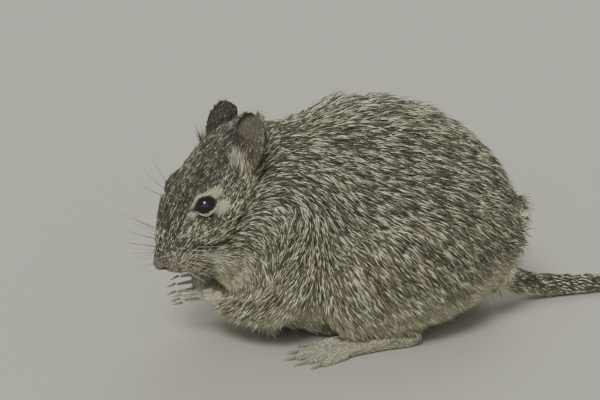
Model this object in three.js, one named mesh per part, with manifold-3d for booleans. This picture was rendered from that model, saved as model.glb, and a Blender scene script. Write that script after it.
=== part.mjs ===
// A life-size model of a degu, crouched on its haunches with both forepaws at its mouth.
// Millimetres, +Z up. The animal faces -Y and its left side is +X. The outline of every
// solid is the outline of the coat, out to the tips of the hair.

import * as THREE from "three";
import { mergeVertices } from "three/addons/utils/BufferGeometryUtils.js";
import Module from "manifold-3d";

const wasm = await Module();
wasm.setup();

// Driving dimensions
const PART_GAP = 0.3; // clear space between neighbouring parts
const SLIVER = 0.075; // detail finer than this is left out of the faceted solids
const NOSE_HEIGHT = 32; // nose tip above the floor
const HEAD_LENGTH = 52; // nose tip to occiput
const HEAD_PITCH = 45; // degrees that the muzzle points down
const HEAD_YAW = 14; // degrees that the head turns to its left
const HEAD_ROLL = -6; // degrees that the crown leans to the right
const NECK_PIVOT_Y = 38; // the head turns about a vertical line here
const EYE_RADIUS = 4.4;
const EYE = { lateral: 9.8, back: 25.4, up: 6.0 }; // centre of the globe in the head
const EAR = { height: 20, width: 18, thickness: 1.8, cup: 4.2 };
const EAR_ROOT = { thicken: 1.6, forward: 2.2, narrow: 0.26 }; // how the ear changes at its root
const EAR_HOOD = 0.85; // how much of the cup's depth the top of the ear has
const EAR_BASE = { lateral: 11.8, up: 4.2 };
const FINGER_RADIUS = 1.0;
const FINGER_LENGTH = 8.6;
const FINGERS = 4;
const TOE_RADIUS = 1.5;
const TOE_LENGTHS = [8, 11, 12, 11.5, 8.5]; // from the inner toe outwards
const CLAW_LENGTH = 3.2;
const HIND_CLAW_LENGTH = 4.2;
const CLAW_RADIUS = 0.62;
const CLAW_DROP = 0.7; // the tip hangs this far below the root
const CLAW_RISE = 0.35; // the root sits this far above the digit's axis
const TAIL_LENGTH = 116;
const TAIL_RADIUS = 4.6; // at the root
const BRUSH_RADIUS = 6.4; // half the width of the tail's hairy end
const TAIL_ROOT_Y = 124;
const TAIL_ROOT_RISE = 9.5; // height of the root above the floor, which the tail soon loses
const TAIL_FALL = 9; // length over which most of that height is lost
const TAIL_SWAY = { end: 30, middle: 7 }; // how far the tail swings to each side
const TAIL_REACH = 0.955; // share of the tail's length that runs straight back
const TAIL_FLAT = 0.35; // depth of the tail that the floor flattens

const LATERAL = new THREE.Vector3(1, 0, 0);
const UPWARD = new THREE.Vector3(0, 0, 1);
const BIG = 400; // side of a cutting block, larger than the animal
const SIDES = { left: 1, right: -1 };

const finish = (color, roughness) =>
  new THREE.MeshStandardMaterial({ color, roughness, metalness: 0 });
const FINISHES = {
  back: () => finish(0x57503f, 0.95),
  belly: () => finish(0x8a7a5c, 0.95),
  limb: () => finish(0x6d6552, 0.95),
  ear: () => finish(0x5a5351, 0.85),
  paw: () => finish(0x9c9a8c, 0.85),
  nose: () => finish(0x6e605b, 0.6),
  eye: () => finish(0x0d0a08, 0.08),
  claw: () => finish(0x6b5f52, 0.5),
  brush: () => finish(0x1d1915, 0.95),
};

// A closed geometry as a solid that can be joined and cut
function solidFrom(geometry) {
  const bare = geometry.clone();
  bare.deleteAttribute("normal");
  bare.deleteAttribute("uv");
  const merged = mergeVertices(bare, 1e-4);
  return new wasm.Manifold(
    new wasm.Mesh({
      numProp: 3,
      vertProperties: merged.attributes.position.array,
      triVerts: new Uint32Array(merged.index.array),
    }),
  );
}

function geometryFrom(solid) {
  const mesh = solid.getMesh();
  const geometry = new THREE.BufferGeometry();
  const positions = new Float32Array(mesh.vertProperties);
  geometry.setAttribute("position", new THREE.BufferAttribute(positions, 3));
  geometry.setIndex(new THREE.BufferAttribute(mesh.triVerts, 1));
  geometry.computeVertexNormals();
  return geometry;
}

// A unit sphere whose points are moved by place(polar, x, z): polar runs from 0 at one pole
// to 1 at the other, and x, z give the place round the section
function mappedSphere(sides, rings, place) {
  const geometry = new THREE.SphereGeometry(1, sides, rings);
  const position = geometry.attributes.position;
  const point = new THREE.Vector3();
  for (let i = 0; i < position.count; i += 1) {
    const ring = Math.floor(i / (sides + 1));
    const turn = ((i % (sides + 1)) % sides) / sides;
    const angle = turn * 2 * Math.PI;
    point.copy(place(ring / rings, -Math.cos(angle), Math.sin(angle)));
    position.setXYZ(i, point.x, point.y, point.z);
  }
  return solidFrom(geometry);
}

// Flesh along a smooth path. Each station is [x, y, z, half width, half depth]; the width is
// measured along the side vector, and both ends are rounded off.
function flesh(stations, options = {}) {
  const { sides = 16, rings = 16, grow = 0, side = LATERAL, cap = 1, square = 2 } = options;
  const capRings = 3;
  const path = new THREE.CatmullRomCurve3(
    stations.map(([x, y, z]) => new THREE.Vector3(x, y, z)),
  );
  const girth = new THREE.CatmullRomCurve3(
    stations.map(([, , , wide, deep]) => new THREE.Vector3(wide + grow, deep + grow, 0)),
  );
  const capShare = capRings / rings;
  const squared = (value) => Math.sign(value) * Math.abs(value) ** (2 / square);
  return mappedSphere(sides, rings, (polar, x, z) => {
    const along = THREE.MathUtils.clamp((polar - capShare) / (1 - 2 * capShare), 0, 1);
    const fromEnd = Math.min(polar, 1 - polar) / capShare;
    const bow = Math.min(1, fromEnd) * (Math.PI / 2);
    const size = girth.getPoint(along);
    const tangent = path.getTangent(along);
    const across = side.clone().addScaledVector(tangent, -side.dot(tangent)).normalize();
    const over = new THREE.Vector3().crossVectors(tangent, across);
    const reach = (polar < 0.5 ? -1 : 1) * cap * Math.min(size.x, size.y) * Math.cos(bow);
    const shrink = Math.round(polar * rings) % rings === 0 ? 0 : Math.sin(bow);
    return path
      .getPoint(along)
      .addScaledVector(tangent, reach)
      .addScaledVector(across, squared(x) * size.x * shrink)
      .addScaledVector(over, squared(z) * size.y * shrink);
  });
}

function ball(radius, centre, stretch = [1, 1, 1], detail = 8) {
  const geometry = new THREE.SphereGeometry(radius, detail, Math.round(detail * 0.7));
  geometry.scale(...stretch);
  geometry.translate(...centre);
  return solidFrom(geometry);
}

// The half space behind a plane, as one large block. The plane holds the lateral axis and
// runs through two points given as [y, z], the first one below the second.
function blockBehind([lowY, lowZ], [highY, highZ], shift = 0) {
  const geometry = new THREE.BoxGeometry(BIG, BIG, BIG);
  geometry.translate(0, BIG / 2 + shift, 0);
  geometry.rotateX(-Math.atan2(highY - lowY, highZ - lowZ));
  geometry.translate(0, (lowY + highY) / 2, (lowZ + highZ) / 2);
  return solidFrom(geometry);
}

function belowFloor() {
  const geometry = new THREE.BoxGeometry(BIG * 2, BIG * 2, BIG);
  geometry.translate(0, 0, -BIG / 2);
  return solidFrom(geometry);
}

const FLOOR = belowFloor();
const joined = (...solids) => solids.reduce((whole, piece) => whole.add(piece));
const without = (solid, ...cutters) => cutters.reduce((rest, cutter) => rest.subtract(cutter), solid);
const largest = (solid) =>
  solid.decompose().reduce((best, body) => (body.volume() > best.volume() ? body : best));

function addNode(parent, name, solid, material) {
  const geometry = geometryFrom(solid.simplify(SLIVER));
  geometry.computeBoundingBox();
  const centre = geometry.boundingBox.getCenter(new THREE.Vector3());
  geometry.translate(-centre.x, -centre.y, -centre.z);
  const mesh = new THREE.Mesh(geometry, material);
  mesh.name = name;
  mesh.position.copy(centre);
  parent.add(mesh);
  return mesh;
}

// Head, in its own frame: y runs back from the nose tip, z towards the crown
const HEAD_OUTLINE = [
  // [back, crown, throat, half width]
  [3.6, 5.8, -6.8, 5.2],
  [6, 8.2, -9.6, 7.0],
  [12, 11.2, -13.2, 9.6],
  [18, 14.2, -15.2, 12],
  [25, 15.2, -16.2, 14.8],
  [32, 15.3, -16.6, 16.6],
  [39, 15.2, -16.6, 16.8],
  [46, 14.6, -15.6, 16.2],
  [HEAD_LENGTH, 12, -13, 14],
];

const JAW_STATIONS = [
  [0, 6.4, -10.4, 3.2, 2.6],
  [0, 11, -13.4, 4.6, 3.2],
  [0, 17, -15.8, 6.6, 3.6],
  [0, 24, -17, 8.4, 4.2],
];

function headBlank() {
  const stations = HEAD_OUTLINE.map(([back, crown, throat, wide]) => [
    0,
    back,
    (crown + throat) / 2,
    wide,
    (crown - throat) / 2,
  ]);
  const skull = flesh(stations, { sides: 18, rings: 17, cap: 0.75, square: 2.15 });
  const bumps = Object.values(SIDES).flatMap((side) => [
    ball(4.9, [side * 3.6, 7.4, -3.4], [1, 1.25, 1]), // whisker pad
    ball(5, [side * 6.9, 25.5, 10.4], [1, 1.3, 0.9]), // brow
  ]);
  return joined(skull, ...bumps);
}

const jawBlank = (grow = 0) => flesh(JAW_STATIONS, { sides: 10, rings: 8, grow });

const noseBlank = (grow = 0) => ball(2.7 + grow, [0, 1.1, 0.6], [1.2, 0.95, 1.1]);

const eyeBlank = (side, grow = 0) =>
  ball(EYE_RADIUS + grow, [side * EYE.lateral, EYE.back, EYE.up], [1, 1, 1], 11);

// A cupped leaf of skin: the unit sphere is flattened, widened above its root and curled
// so that its hollow face looks forwards
function earBlank(grow = 0) {
  const { height, width, thickness, cup } = EAR;
  const { thicken, forward, narrow } = EAR_ROOT;
  const roundness = 0.66; // under 1 makes the tip blunter than a circle's
  return mappedSphere(14, 10, (polar, x, z) => {
    const rise = (1 - Math.cos(polar * Math.PI)) / 2; // 0 at the root, 1 at the tip
    const nearRoot = 1 - rise;
    const round = polar === 0 || polar === 1 ? 0 : Math.sin(polar * Math.PI) ** roundness;
    const broad = (width / 2 + grow) * round * (1.05 - narrow * nearRoot ** 2);
    const thick = (thickness / 2 + thicken * nearRoot ** 3 + grow) * round;
    const across = x * broad;
    const top = Math.max(0, 2 * rise - 1);
    const hollow = (across / (width / 2)) ** 2 + EAR_HOOD * top ** 2;
    const curl = forward * nearRoot ** 2 - cup * hollow;
    return new THREE.Vector3(across, z * thick + curl, rise * height);
  });
}

const EAR_TURNS = {
  left: { back: 42, lean: 68, spread: 14, twist: 14 },
  right: { back: 39.5, lean: 82, spread: -3, twist: -62 },
};

function earPlace(sideName) {
  const side = SIDES[sideName];
  const { back, lean, spread, twist } = EAR_TURNS[sideName];
  const place = new THREE.Object3D();
  place.position.set(side * EAR_BASE.lateral, back, EAR_BASE.up);
  place.rotation.set(
    -THREE.MathUtils.degToRad(lean),
    THREE.MathUtils.degToRad(spread),
    THREE.MathUtils.degToRad(twist),
    "XYZ",
  );
  place.updateMatrix();
  return place;
}

// What a part takes out of its neighbour: its own shape and the gap round it
const roomFor = (blank) => joined(blank(PART_GAP), blank());

const placed = (solid, place) => solid.transform(place.matrix.elements);

// The cuts between head and neck, and between neck and trunk, as [y, z] pairs
const NAPE_CUT = { low: [16, 28], high: [37, 74] };
const WITHERS_CUT = { low: [22, 16], high: [51, 80] };

// Trunk, in the animal's frame: y runs back from the nose tip
const TRUNK_STATIONS = [
  // [x, y, z, half width, half depth]
  [0, 22, 35, 13.5, 23],
  [0, 32, 40, 18.5, 33.5],
  [0, 45, 40, 21.5, 37],
  [0, 58, 39.2, 25, 41.3],
  [0, 70, 40.2, 28.5, 42.8],
  [0, 82, 38.8, 30.5, 41.7],
  [0, 93, 35.2, 31, 38.8],
  [0, 103, 31.6, 29.5, 34.9],
  [0, 112, 28.2, 26, 29.3],
  [0, 119, 25.5, 20.5, 22],
];

// Forelimb of the left side; the right side mirrors x
const ARM_STATIONS = [
  [16, 50, 47, 8.5, 10.5],
  [18.2, 48, 34, 8.5, 10],
  [19, 45, 22.5, 7.4, 8.5],
  [16.8, 38, 17.2, 7.2, 8.4],
  [13, 30.5, 16.2, 6.2, 7],
  [9.4, 24.5, 16, 4.2, 4.4],
];
const PAW_STATIONS = [
  [8.6, 23, 16.6, 3.4, 3],
  [7.2, 20.4, 17.4, 3.5, 2.7],
  [5.8, 17.8, 17.8, 4, 2.2],
];
const FINGER_SPREAD = 2.7; // between neighbouring fingers at their roots

// Hind limb of the left side
const THIGH_STATIONS = [
  [17.5, 105, 39, 12, 19],
  [20.5, 96, 34.8, 13.5, 24],
  [22, 85, 29.4, 14, 24.5],
  [23.2, 73, 23.4, 12.3, 19.5],
  [24, 63, 18.2, 9.8, 14],
];
const SHANK_STATIONS = [
  [24, 64, 15, 8, 9],
  [23.5, 74, 10, 6.6, 7.5],
  [22.8, 84, 7, 5.4, 6.5],
];
const FOOT_STATIONS = [
  [22.8, 84, 3.8, 4.6, 4.6],
  [23.2, 74, 3.4, 4.8, 4],
  [24.1, 64, 2.8, 5.6, 3.4],
  [25, 57, 2.2, 6.4, 2.9],
];
const TOE_FAN = 9; // degrees between neighbouring toes
const TOE_ROOT_Y = 57.5;

const mirrored = (stations, side) => stations.map(([x, ...rest]) => [side * x, ...rest]);

function fingerStations(side, index) {
  const offset = (index - (FINGERS - 1) / 2) * FINGER_SPREAD;
  const [x, y, z] = PAW_STATIONS[PAW_STATIONS.length - 1];
  const lengthShare = [0.86, 1, 0.97, 0.8][index];
  const reach = FINGER_LENGTH * lengthShare;
  const root = [side * (x + offset * 0.55), y + 1, z - 0.2 + offset * 0.8];
  const knuckle = [root[0] - side * 0.4, root[1] - reach * 0.5, root[2] + 1.1];
  const tip = [root[0] - side * 1.4, root[1] - reach, root[2] - 0.2];
  return [
    [...root, FINGER_RADIUS + 0.25, FINGER_RADIUS + 0.1],
    [...knuckle, FINGER_RADIUS, FINGER_RADIUS],
    [...tip, FINGER_RADIUS * 0.85, FINGER_RADIUS * 0.85],
  ];
}

function toeStations(side, index) {
  const angle = THREE.MathUtils.degToRad((index - 2) * TOE_FAN + 4);
  const length = TOE_LENGTHS[index];
  const x = side * (25 + (index - 2) * 2.35);
  const stepX = side * Math.sin(angle);
  const stepY = -Math.cos(angle);
  const rootY = TOE_ROOT_Y + Math.abs(index - 2) * 1.2;
  return [
    [x, rootY, 1.6, TOE_RADIUS + 0.2, TOE_RADIUS + 0.2],
    [x + stepX * length * 0.5, rootY + stepY * length * 0.5, 2, TOE_RADIUS, TOE_RADIUS],
    [x + stepX * length, rootY + stepY * length, 1.15, TOE_RADIUS * 0.9, TOE_RADIUS * 0.9],
  ];
}

// A claw that curves down from the end of a digit
function clawBlank(stations, length) {
  const [before, last] = stations.slice(-2).map(([x, y, z]) => new THREE.Vector3(x, y, z));
  const digitEnd = stations[stations.length - 1][3];
  const heading = last.clone().sub(before).setZ(0).normalize();
  const root = last.clone().addScaledVector(heading, digitEnd + PART_GAP + CLAW_RADIUS * 0.9);
  root.z += CLAW_RISE;
  const middle = root.clone().addScaledVector(heading, length * 0.5);
  middle.z -= CLAW_DROP / 7;
  const tip = root.clone().addScaledVector(heading, length * 0.85);
  tip.z -= CLAW_DROP;
  return flesh(
    [
      [...root.toArray(), CLAW_RADIUS, CLAW_RADIUS],
      [...middle.toArray(), CLAW_RADIUS * 0.75, CLAW_RADIUS * 0.8],
      [...tip.toArray(), CLAW_RADIUS * 0.34, CLAW_RADIUS * 0.34],
    ],
    { sides: 5, rings: 7 },
  );
}

const TAIL_NAMES = ["tail_base", "tail_middle", "tail_brush"];
const TAIL_CUTS = [0.36, 0.68]; // shares of the tail's length

// The tail's centre line: down from the rump, then along the floor in a slow curve
function tailPoint(share) {
  const run = share * TAIL_LENGTH;
  const rise = TAIL_ROOT_RISE * Math.exp(-run / TAIL_FALL);
  const sway = TAIL_SWAY.end * share ** 2.2 - TAIL_SWAY.middle * Math.sin(share * Math.PI);
  return [sway, TAIL_ROOT_Y + run * TAIL_REACH, tailRadius(share) - TAIL_FLAT + rise];
}

function tailRadius(share) {
  const brushStart = 0.64; // share of the length where the hair begins to lengthen
  const shaft = TAIL_RADIUS * (1 - 0.52 * Math.min(1, share / brushStart));
  const spread = THREE.MathUtils.smoothstep(share, brushStart, 0.82);
  const point = 1 - THREE.MathUtils.smoothstep(share, 0.86, 1.0) * 0.72;
  return (shaft + spread * 0.41 * BRUSH_RADIUS) * point;
}

function tailBlank() {
  const steps = 14;
  const stations = [];
  for (let i = 0; i <= steps; i += 1) {
    const share = i / steps;
    const radius = tailRadius(share);
    stations.push([...tailPoint(share), radius, radius]);
  }
  return flesh(stations, { sides: 10, rings: 22, cap: 0.5 });
}

// Cut between two lengths of the tail: a thin slab across the centre line
function tailSlab(share) {
  const here = new THREE.Vector3(...tailPoint(share));
  const next = new THREE.Vector3(...tailPoint(share + 0.02));
  const slab = new THREE.BoxGeometry(60, PART_GAP, 60);
  const heading = next.sub(here).setZ(0).normalize();
  slab.rotateZ(Math.atan2(-heading.x, heading.y));
  slab.translate(here.x, here.y, here.z);
  return solidFrom(slab);
}

function buildHead(animal) {
  const head = new THREE.Group();
  const tip = new THREE.Vector3(0, -NECK_PIVOT_Y, 0);
  const yaw = THREE.MathUtils.degToRad(HEAD_YAW);
  tip.applyAxisAngle(UPWARD, yaw);
  head.position.set(tip.x, tip.y + NECK_PIVOT_Y, NOSE_HEIGHT);
  const pitch = THREE.MathUtils.degToRad(HEAD_PITCH);
  const roll = THREE.MathUtils.degToRad(HEAD_ROLL);
  head.rotation.set(pitch, roll, yaw, "ZXY");
  head.updateMatrix();
  animal.add(head);

  const toHead = head.matrix.clone().invert();
  const behindNape = blockBehind(NAPE_CUT.low, NAPE_CUT.high, -PART_GAP / 2);
  const behindNapeLocal = behindNape.transform(toHead.elements);

  const ears = Object.keys(SIDES).map((sideName) => ({
    sideName,
    solid: placed(earBlank(), earPlace(sideName)),
    room: placed(earBlank(PART_GAP), earPlace(sideName)),
  }));
  const eyes = Object.entries(SIDES).map(([sideName, side]) => ({
    sideName,
    solid: eyeBlank(side),
    room: eyeBlank(side, PART_GAP),
  }));
  const face = without(
    headBlank(),
    behindNapeLocal,
    jawBlank(PART_GAP),
    noseBlank(PART_GAP),
    ...eyes.map((eye) => eye.room),
  );
  const skull = without(face, ...ears.map((ear) => ear.room));
  addNode(head, "head", largest(skull), FINISHES.back());
  addNode(head, "lower_jaw", largest(jawBlank().subtract(behindNapeLocal)), FINISHES.belly());
  addNode(head, "nose", noseBlank(), FINISHES.nose());
  eyes.forEach(({ sideName, solid }) => {
    addNode(head, `eye_${sideName}`, solid, FINISHES.eye());
  });
  ears.forEach(({ sideName, solid }) => {
    addNode(head, `ear_${sideName}`, largest(solid), FINISHES.ear());
  });
  return head;
}

function trunkBlank(grow = 0) {
  return flesh(TRUNK_STATIONS, { sides: 22, rings: 18, cap: 0.5, square: 2.3, grow });
}

function limbBlanks(side) {
  const arm = (grow = 0) =>
    flesh(mirrored(ARM_STATIONS, side), { sides: 10, rings: 13, grow });
  const leg = (grow = 0) =>
    joined(
      flesh(mirrored(THIGH_STATIONS, side), { sides: 14, rings: 12, grow }),
      flesh(mirrored(SHANK_STATIONS, side), { sides: 8, rings: 7, grow }),
    );
  const foot = (grow = 0) =>
    flesh(mirrored(FOOT_STATIONS, side), { sides: 10, rings: 9, grow, square: 2.3 });
  const paw = (grow = 0) => flesh(mirrored(PAW_STATIONS, side), { sides: 10, rings: 8, grow });
  return { arm, leg, foot, paw };
}

function addDigits(parent, name, count, stationsOf, palm, clawLength, cutters) {
  const digits = [];
  for (let index = 0; index < count; index += 1) {
    const stations = stationsOf(index);
    digits.push(flesh(stations, { sides: 6, rings: 7 }));
    const claw = clawBlank(stations, clawLength).subtract(FLOOR);
    addNode(parent, `claw_${name}_${index + 1}`, largest(claw), FINISHES.claw());
  }
  const whole = without(joined(palm, ...digits), FLOOR, ...cutters);
  addNode(parent, name, largest(whole), FINISHES.paw());
}

function buildBody(animal, head) {
  const whole = trunkBlank();
  const behindNape = blockBehind(NAPE_CUT.low, NAPE_CUT.high, PART_GAP / 2);
  const neckBack = blockBehind(WITHERS_CUT.low, WITHERS_CUT.high, -PART_GAP / 2);
  const trunkFront = blockBehind(WITHERS_CUT.low, WITHERS_CUT.high, PART_GAP / 2);
  const earRooms = Object.keys(SIDES).map((sideName) =>
    placed(earBlank(PART_GAP), earPlace(sideName)).transform(head.matrix.elements),
  );
  const jawRoom = jawBlank(PART_GAP).transform(head.matrix.elements);
  const rooms = [];

  Object.entries(SIDES).forEach(([sideName, side]) => {
    const { arm, leg, foot, paw } = limbBlanks(side);
    const [armRoom, legRoom, footRoom, pawRoom] = [arm, leg, foot, paw].map(roomFor);
    addNode(
      animal,
      `foreleg_${sideName}`,
      largest(without(arm(), pawRoom, FLOOR)),
      FINISHES.limb(),
    );
    addNode(
      animal,
      `hind_leg_${sideName}`,
      largest(without(leg(), footRoom, armRoom, FLOOR)),
      FINISHES.limb(),
    );
    const fingers = (index) => fingerStations(side, index);
    const toes = (index) => toeStations(side, index);
    addDigits(animal, `forepaw_${sideName}`, FINGERS, fingers, paw(), CLAW_LENGTH, []);
    const clawLength = HIND_CLAW_LENGTH;
    addDigits(animal, `hind_foot_${sideName}`, TOE_LENGTHS.length, toes, foot(), clawLength, []);
    rooms.push(armRoom, legRoom, footRoom, pawRoom);
  });

  const neck = without(whole.intersect(behindNape), neckBack, jawRoom, ...earRooms, ...rooms);
  addNode(animal, "neck", largest(neck), FINISHES.back());

  const trunk = without(whole.intersect(trunkFront), FLOOR, ...rooms);
  addNode(animal, "trunk", largest(trunk), FINISHES.back());
}

function buildTail(animal) {
  const shaft = without(tailBlank(), FLOOR, trunkBlank(PART_GAP), ...TAIL_CUTS.map(tailSlab));
  const fromRoot = (one, other) => one.boundingBox().max[1] - other.boundingBox().max[1];
  shaft
    .decompose()
    .sort(fromRoot)
    .slice(-TAIL_NAMES.length)
    .forEach((piece, index) => {
      const material = TAIL_NAMES[index] === "tail_brush" ? FINISHES.brush() : FINISHES.limb();
      addNode(animal, TAIL_NAMES[index], piece, material);
    });
}

function buildAnimal() {
  const animal = new THREE.Group();
  const head = buildHead(animal);
  buildBody(animal, head);
  buildTail(animal);
  const box = new THREE.Box3().setFromObject(animal, true);
  const centre = box.getCenter(new THREE.Vector3());
  animal.position.set(-centre.x, -centre.y, -box.min.z);
  return animal;
}

const degu = new THREE.Group();
degu.add(buildAnimal());

export default degu;
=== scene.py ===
"""Looks of a still, life-size degu: skin, coat, eyes, claws, whiskers, light and camera."""

import logging
import math
from dataclasses import dataclass, fields
from enum import Enum

import bmesh
import bpy
import numpy as np
from mathutils import Matrix, Vector
from mathutils.kdtree import KDTree


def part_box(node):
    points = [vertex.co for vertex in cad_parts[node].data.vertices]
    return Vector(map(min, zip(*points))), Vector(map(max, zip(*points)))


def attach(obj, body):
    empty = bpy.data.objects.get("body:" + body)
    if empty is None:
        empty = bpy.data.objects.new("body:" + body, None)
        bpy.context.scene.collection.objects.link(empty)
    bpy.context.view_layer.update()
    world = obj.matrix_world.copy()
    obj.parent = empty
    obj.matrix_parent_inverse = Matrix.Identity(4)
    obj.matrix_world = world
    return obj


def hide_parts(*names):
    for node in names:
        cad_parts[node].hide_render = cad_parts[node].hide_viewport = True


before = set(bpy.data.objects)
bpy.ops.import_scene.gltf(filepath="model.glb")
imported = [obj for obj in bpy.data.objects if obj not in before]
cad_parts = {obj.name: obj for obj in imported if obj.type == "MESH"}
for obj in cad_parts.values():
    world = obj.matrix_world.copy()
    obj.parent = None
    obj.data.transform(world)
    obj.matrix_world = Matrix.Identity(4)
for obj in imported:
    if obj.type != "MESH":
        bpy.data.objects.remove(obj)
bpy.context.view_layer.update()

Span = tuple[float, float]
Colour = tuple[float, float, float, float]

LOG = logging.getLogger("degu")
MM = 0.001
BODY = "root"
SEED = 20
SIDES = ("left", "right")
DOUBLED = 1e-6

HEAD_YAW = math.radians(14)
HEAD_PITCH = math.radians(45)
HEAD_ROLL = math.radians(-6)

# Places in the head's frame are lateral, back and up, in millimetres
NOSE_CENTRE = np.array([0.0, 1.1, 0.6])
NOSTRIL = np.array([1.5, 0.4, -0.7])
EYE_PLACE = np.array([9.8, 25.4, 6.0])
EYE_GAZE = np.array([0.87, -0.05, 0.49])
FRONT_CORNER = np.array([-0.27, -0.88, 0.39])
EYE_RADIUS = 4.4 * MM

# Flesh of the throat between jaw, head and neck: lateral, back, up and radius
THROAT_FILLS = (
    (5.5, 17.0, -14.5, 6.0),
    (-5.5, 17.0, -14.5, 6.0),
    (0.0, 13.5, -16.0, 4.4),
    (0.0, 10.3, -14.4, 2.9),
)

FLESH_SIDED = ("ear", "foreleg", "forepaw", "hind_leg", "hind_foot")
FLESH_SINGLE = ("head", "neck", "trunk", "lower_jaw", "nose", "tail_base", "tail_middle", "tail_brush")
FLESH = FLESH_SINGLE + tuple(f"{name}_{side}" for name in FLESH_SIDED for side in SIDES)


def side_name(side: int) -> str:
    """Return the word for a side, which is 1 for the left and -1 for the right."""
    return SIDES[0] if side > 0 else SIDES[1]


class Slot(Enum):
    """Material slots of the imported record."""

    BACK = "coat_back"
    PALE = "coat_pale"
    DARK = "coat_dark"
    EYE = "eye"
    CLAW = "claw"


def unit(vectors: np.ndarray) -> np.ndarray:
    """Scale each row to length one."""
    length = np.linalg.norm(vectors, axis=-1, keepdims=True)
    return vectors / np.maximum(length, 1e-12)


def ramp(values: np.ndarray, low: float, high: float) -> np.ndarray:
    """Rise smoothly from 0 at low to 1 at high, or fall where high is the smaller."""
    t = np.clip((values - low) / (high - low), 0.0, 1.0)
    return t * t * (3.0 - 2.0 * t)


def ripple(points: np.ndarray, wavelength: float, phase: float) -> np.ndarray:
    """Return a soft wandering value between about -1 and 1.

    Args:
        points: places, one row each, in metres.
        wavelength: distance between crests, in metres.
        phase: shift that makes one ripple unlike another.

    Returns:
        One value for each row.
    """
    k = 2.0 * math.pi / wavelength
    x, y, z = (points * k).T
    first = np.sin(x + 1.7 * np.sin(0.61 * y + phase) + phase)
    second = np.sin(y * 0.93 + 1.9 * np.sin(0.57 * z - phase) + 2.1 * phase)
    third = np.sin(z * 1.07 + 1.3 * np.sin(0.71 * x + 2.0 * phase) - phase)
    return (first + second + third) / 3.0


class HeadFrame:
    """Frame of the head: lateral to its left, back from the tip of the nose, up to the crown."""

    def __init__(self) -> None:
        self.turn = np.array(
            Matrix.Rotation(HEAD_YAW, 3, "Z")
            @ Matrix.Rotation(HEAD_PITCH, 3, "X")
            @ Matrix.Rotation(HEAD_ROLL, 3, "Y")
        )
        low, high = (np.array(corner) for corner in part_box("nose"))
        self.origin = (low + high) / 2 - self.turn @ (NOSE_CENTRE * MM)

    def inward(self, points: np.ndarray) -> np.ndarray:
        """Turn world places into the head's own frame, in millimetres."""
        return (points - self.origin) @ self.turn / MM

    def outward(self, local: np.ndarray) -> np.ndarray:
        """Turn places in the head's own frame, in millimetres, into world places."""
        return (local * MM) @ self.turn.T + self.origin

    def heading(self, local: np.ndarray) -> np.ndarray:
        """Turn directions in the head's own frame into world directions."""
        return local @ self.turn.T


HEAD = HeadFrame()


@dataclass(frozen=True)
class LidSizes:
    """Sizes of the lids, as angles seen from the eyeball's centre and as lengths.

    Attributes:
        half_length: angle from the middle of the opening to its corner.
        half_height: angle from the middle of the opening to a lid.
        middle: shift of the opening towards the front corner.
        taper: how much lower the opening is at its front corner.
        taper_from: angle where that begins.
        thickness: how far the lids stand over the eyeball.
        sunk: how far the skin lies behind the eyeball in the opening.
        edge: openings between which the skin comes up to the lid.
        fade: openings between which the lid passes into the face.
        swell: openings between which the lid gains its thickness.
        reach: distances, in eye radii, between which the skin is formed at all.
    """

    half_length: float = math.radians(49)
    half_height: float = math.radians(33)
    middle: float = 0.05
    taper: float = 0.35
    taper_from: float = 0.25
    thickness: float = 0.55 * MM
    sunk: float = 0.9 * MM
    edge: Span = (0.90, 1.02)
    fade: Span = (1.75, 1.25)
    swell: Span = (0.94, 1.08)
    reach: Span = (1.8, 1.4)


LIDS = LidSizes()


def by_radius(distance: np.ndarray, far: float, near: float) -> np.ndarray:
    """Rise from 0 at far to 1 at near, both in eye radii from an eye's centre."""
    return ramp(distance, EYE_RADIUS * far, EYE_RADIUS * near)


@dataclass(frozen=True)
class EyeSocket:
    """Place and opening of one eye, in the world.

    Attributes:
        side: 1 for the left eye and -1 for the right.
    """

    side: int

    @property
    def name(self) -> str:
        """Side in words."""
        return side_name(self.side)

    def mirrored(self, local: np.ndarray) -> np.ndarray:
        """Mirror a place or direction of the left eye to this eye's side."""
        return local * np.array([self.side, 1.0, 1.0])

    @property
    def centre(self) -> np.ndarray:
        """Centre of the eyeball."""
        return HEAD.outward(self.mirrored(EYE_PLACE))

    @property
    def axes(self) -> np.ndarray:
        """Rows: towards the front corner, up across the lids, out along the gaze."""
        gaze = unit(HEAD.heading(self.mirrored(EYE_GAZE)))
        forward = HEAD.heading(self.mirrored(FRONT_CORNER))
        corner = unit(forward - gaze * float(forward @ gaze))
        up = np.cross(corner, gaze) * self.side
        return np.array([corner, up, gaze])

    def angles(self, points: np.ndarray) -> tuple[np.ndarray, np.ndarray, np.ndarray]:
        """Measure places from the eyeball's centre.

        Args:
            points: world places, one row each.

        Returns:
            Angle towards the front corner, angle upwards, and distance from the centre.
        """
        away = points - self.centre
        corner, up, gaze = (away @ self.axes.T).T
        across = np.hypot(corner, up)
        tilt = np.arctan2(across, gaze) / np.maximum(across, 1e-9)
        return corner * tilt, up * tilt, np.linalg.norm(away, axis=1)

    def opening(self, points: np.ndarray) -> np.ndarray:
        """Return 0 at the middle of the opening, 1 at the edge of the lids, and more outside.

        Args:
            points: world places, one row each.

        Returns:
            One value for each row.
        """
        corner, up, _ = self.angles(points)
        lower = LIDS.taper * ramp(corner, LIDS.taper_from, LIDS.half_length)
        tall = LIDS.half_height * (1.0 - lower)
        return np.hypot((corner - LIDS.middle) / LIDS.half_length, up / tall)


SOCKETS = (EyeSocket(1), EyeSocket(-1))


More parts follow.
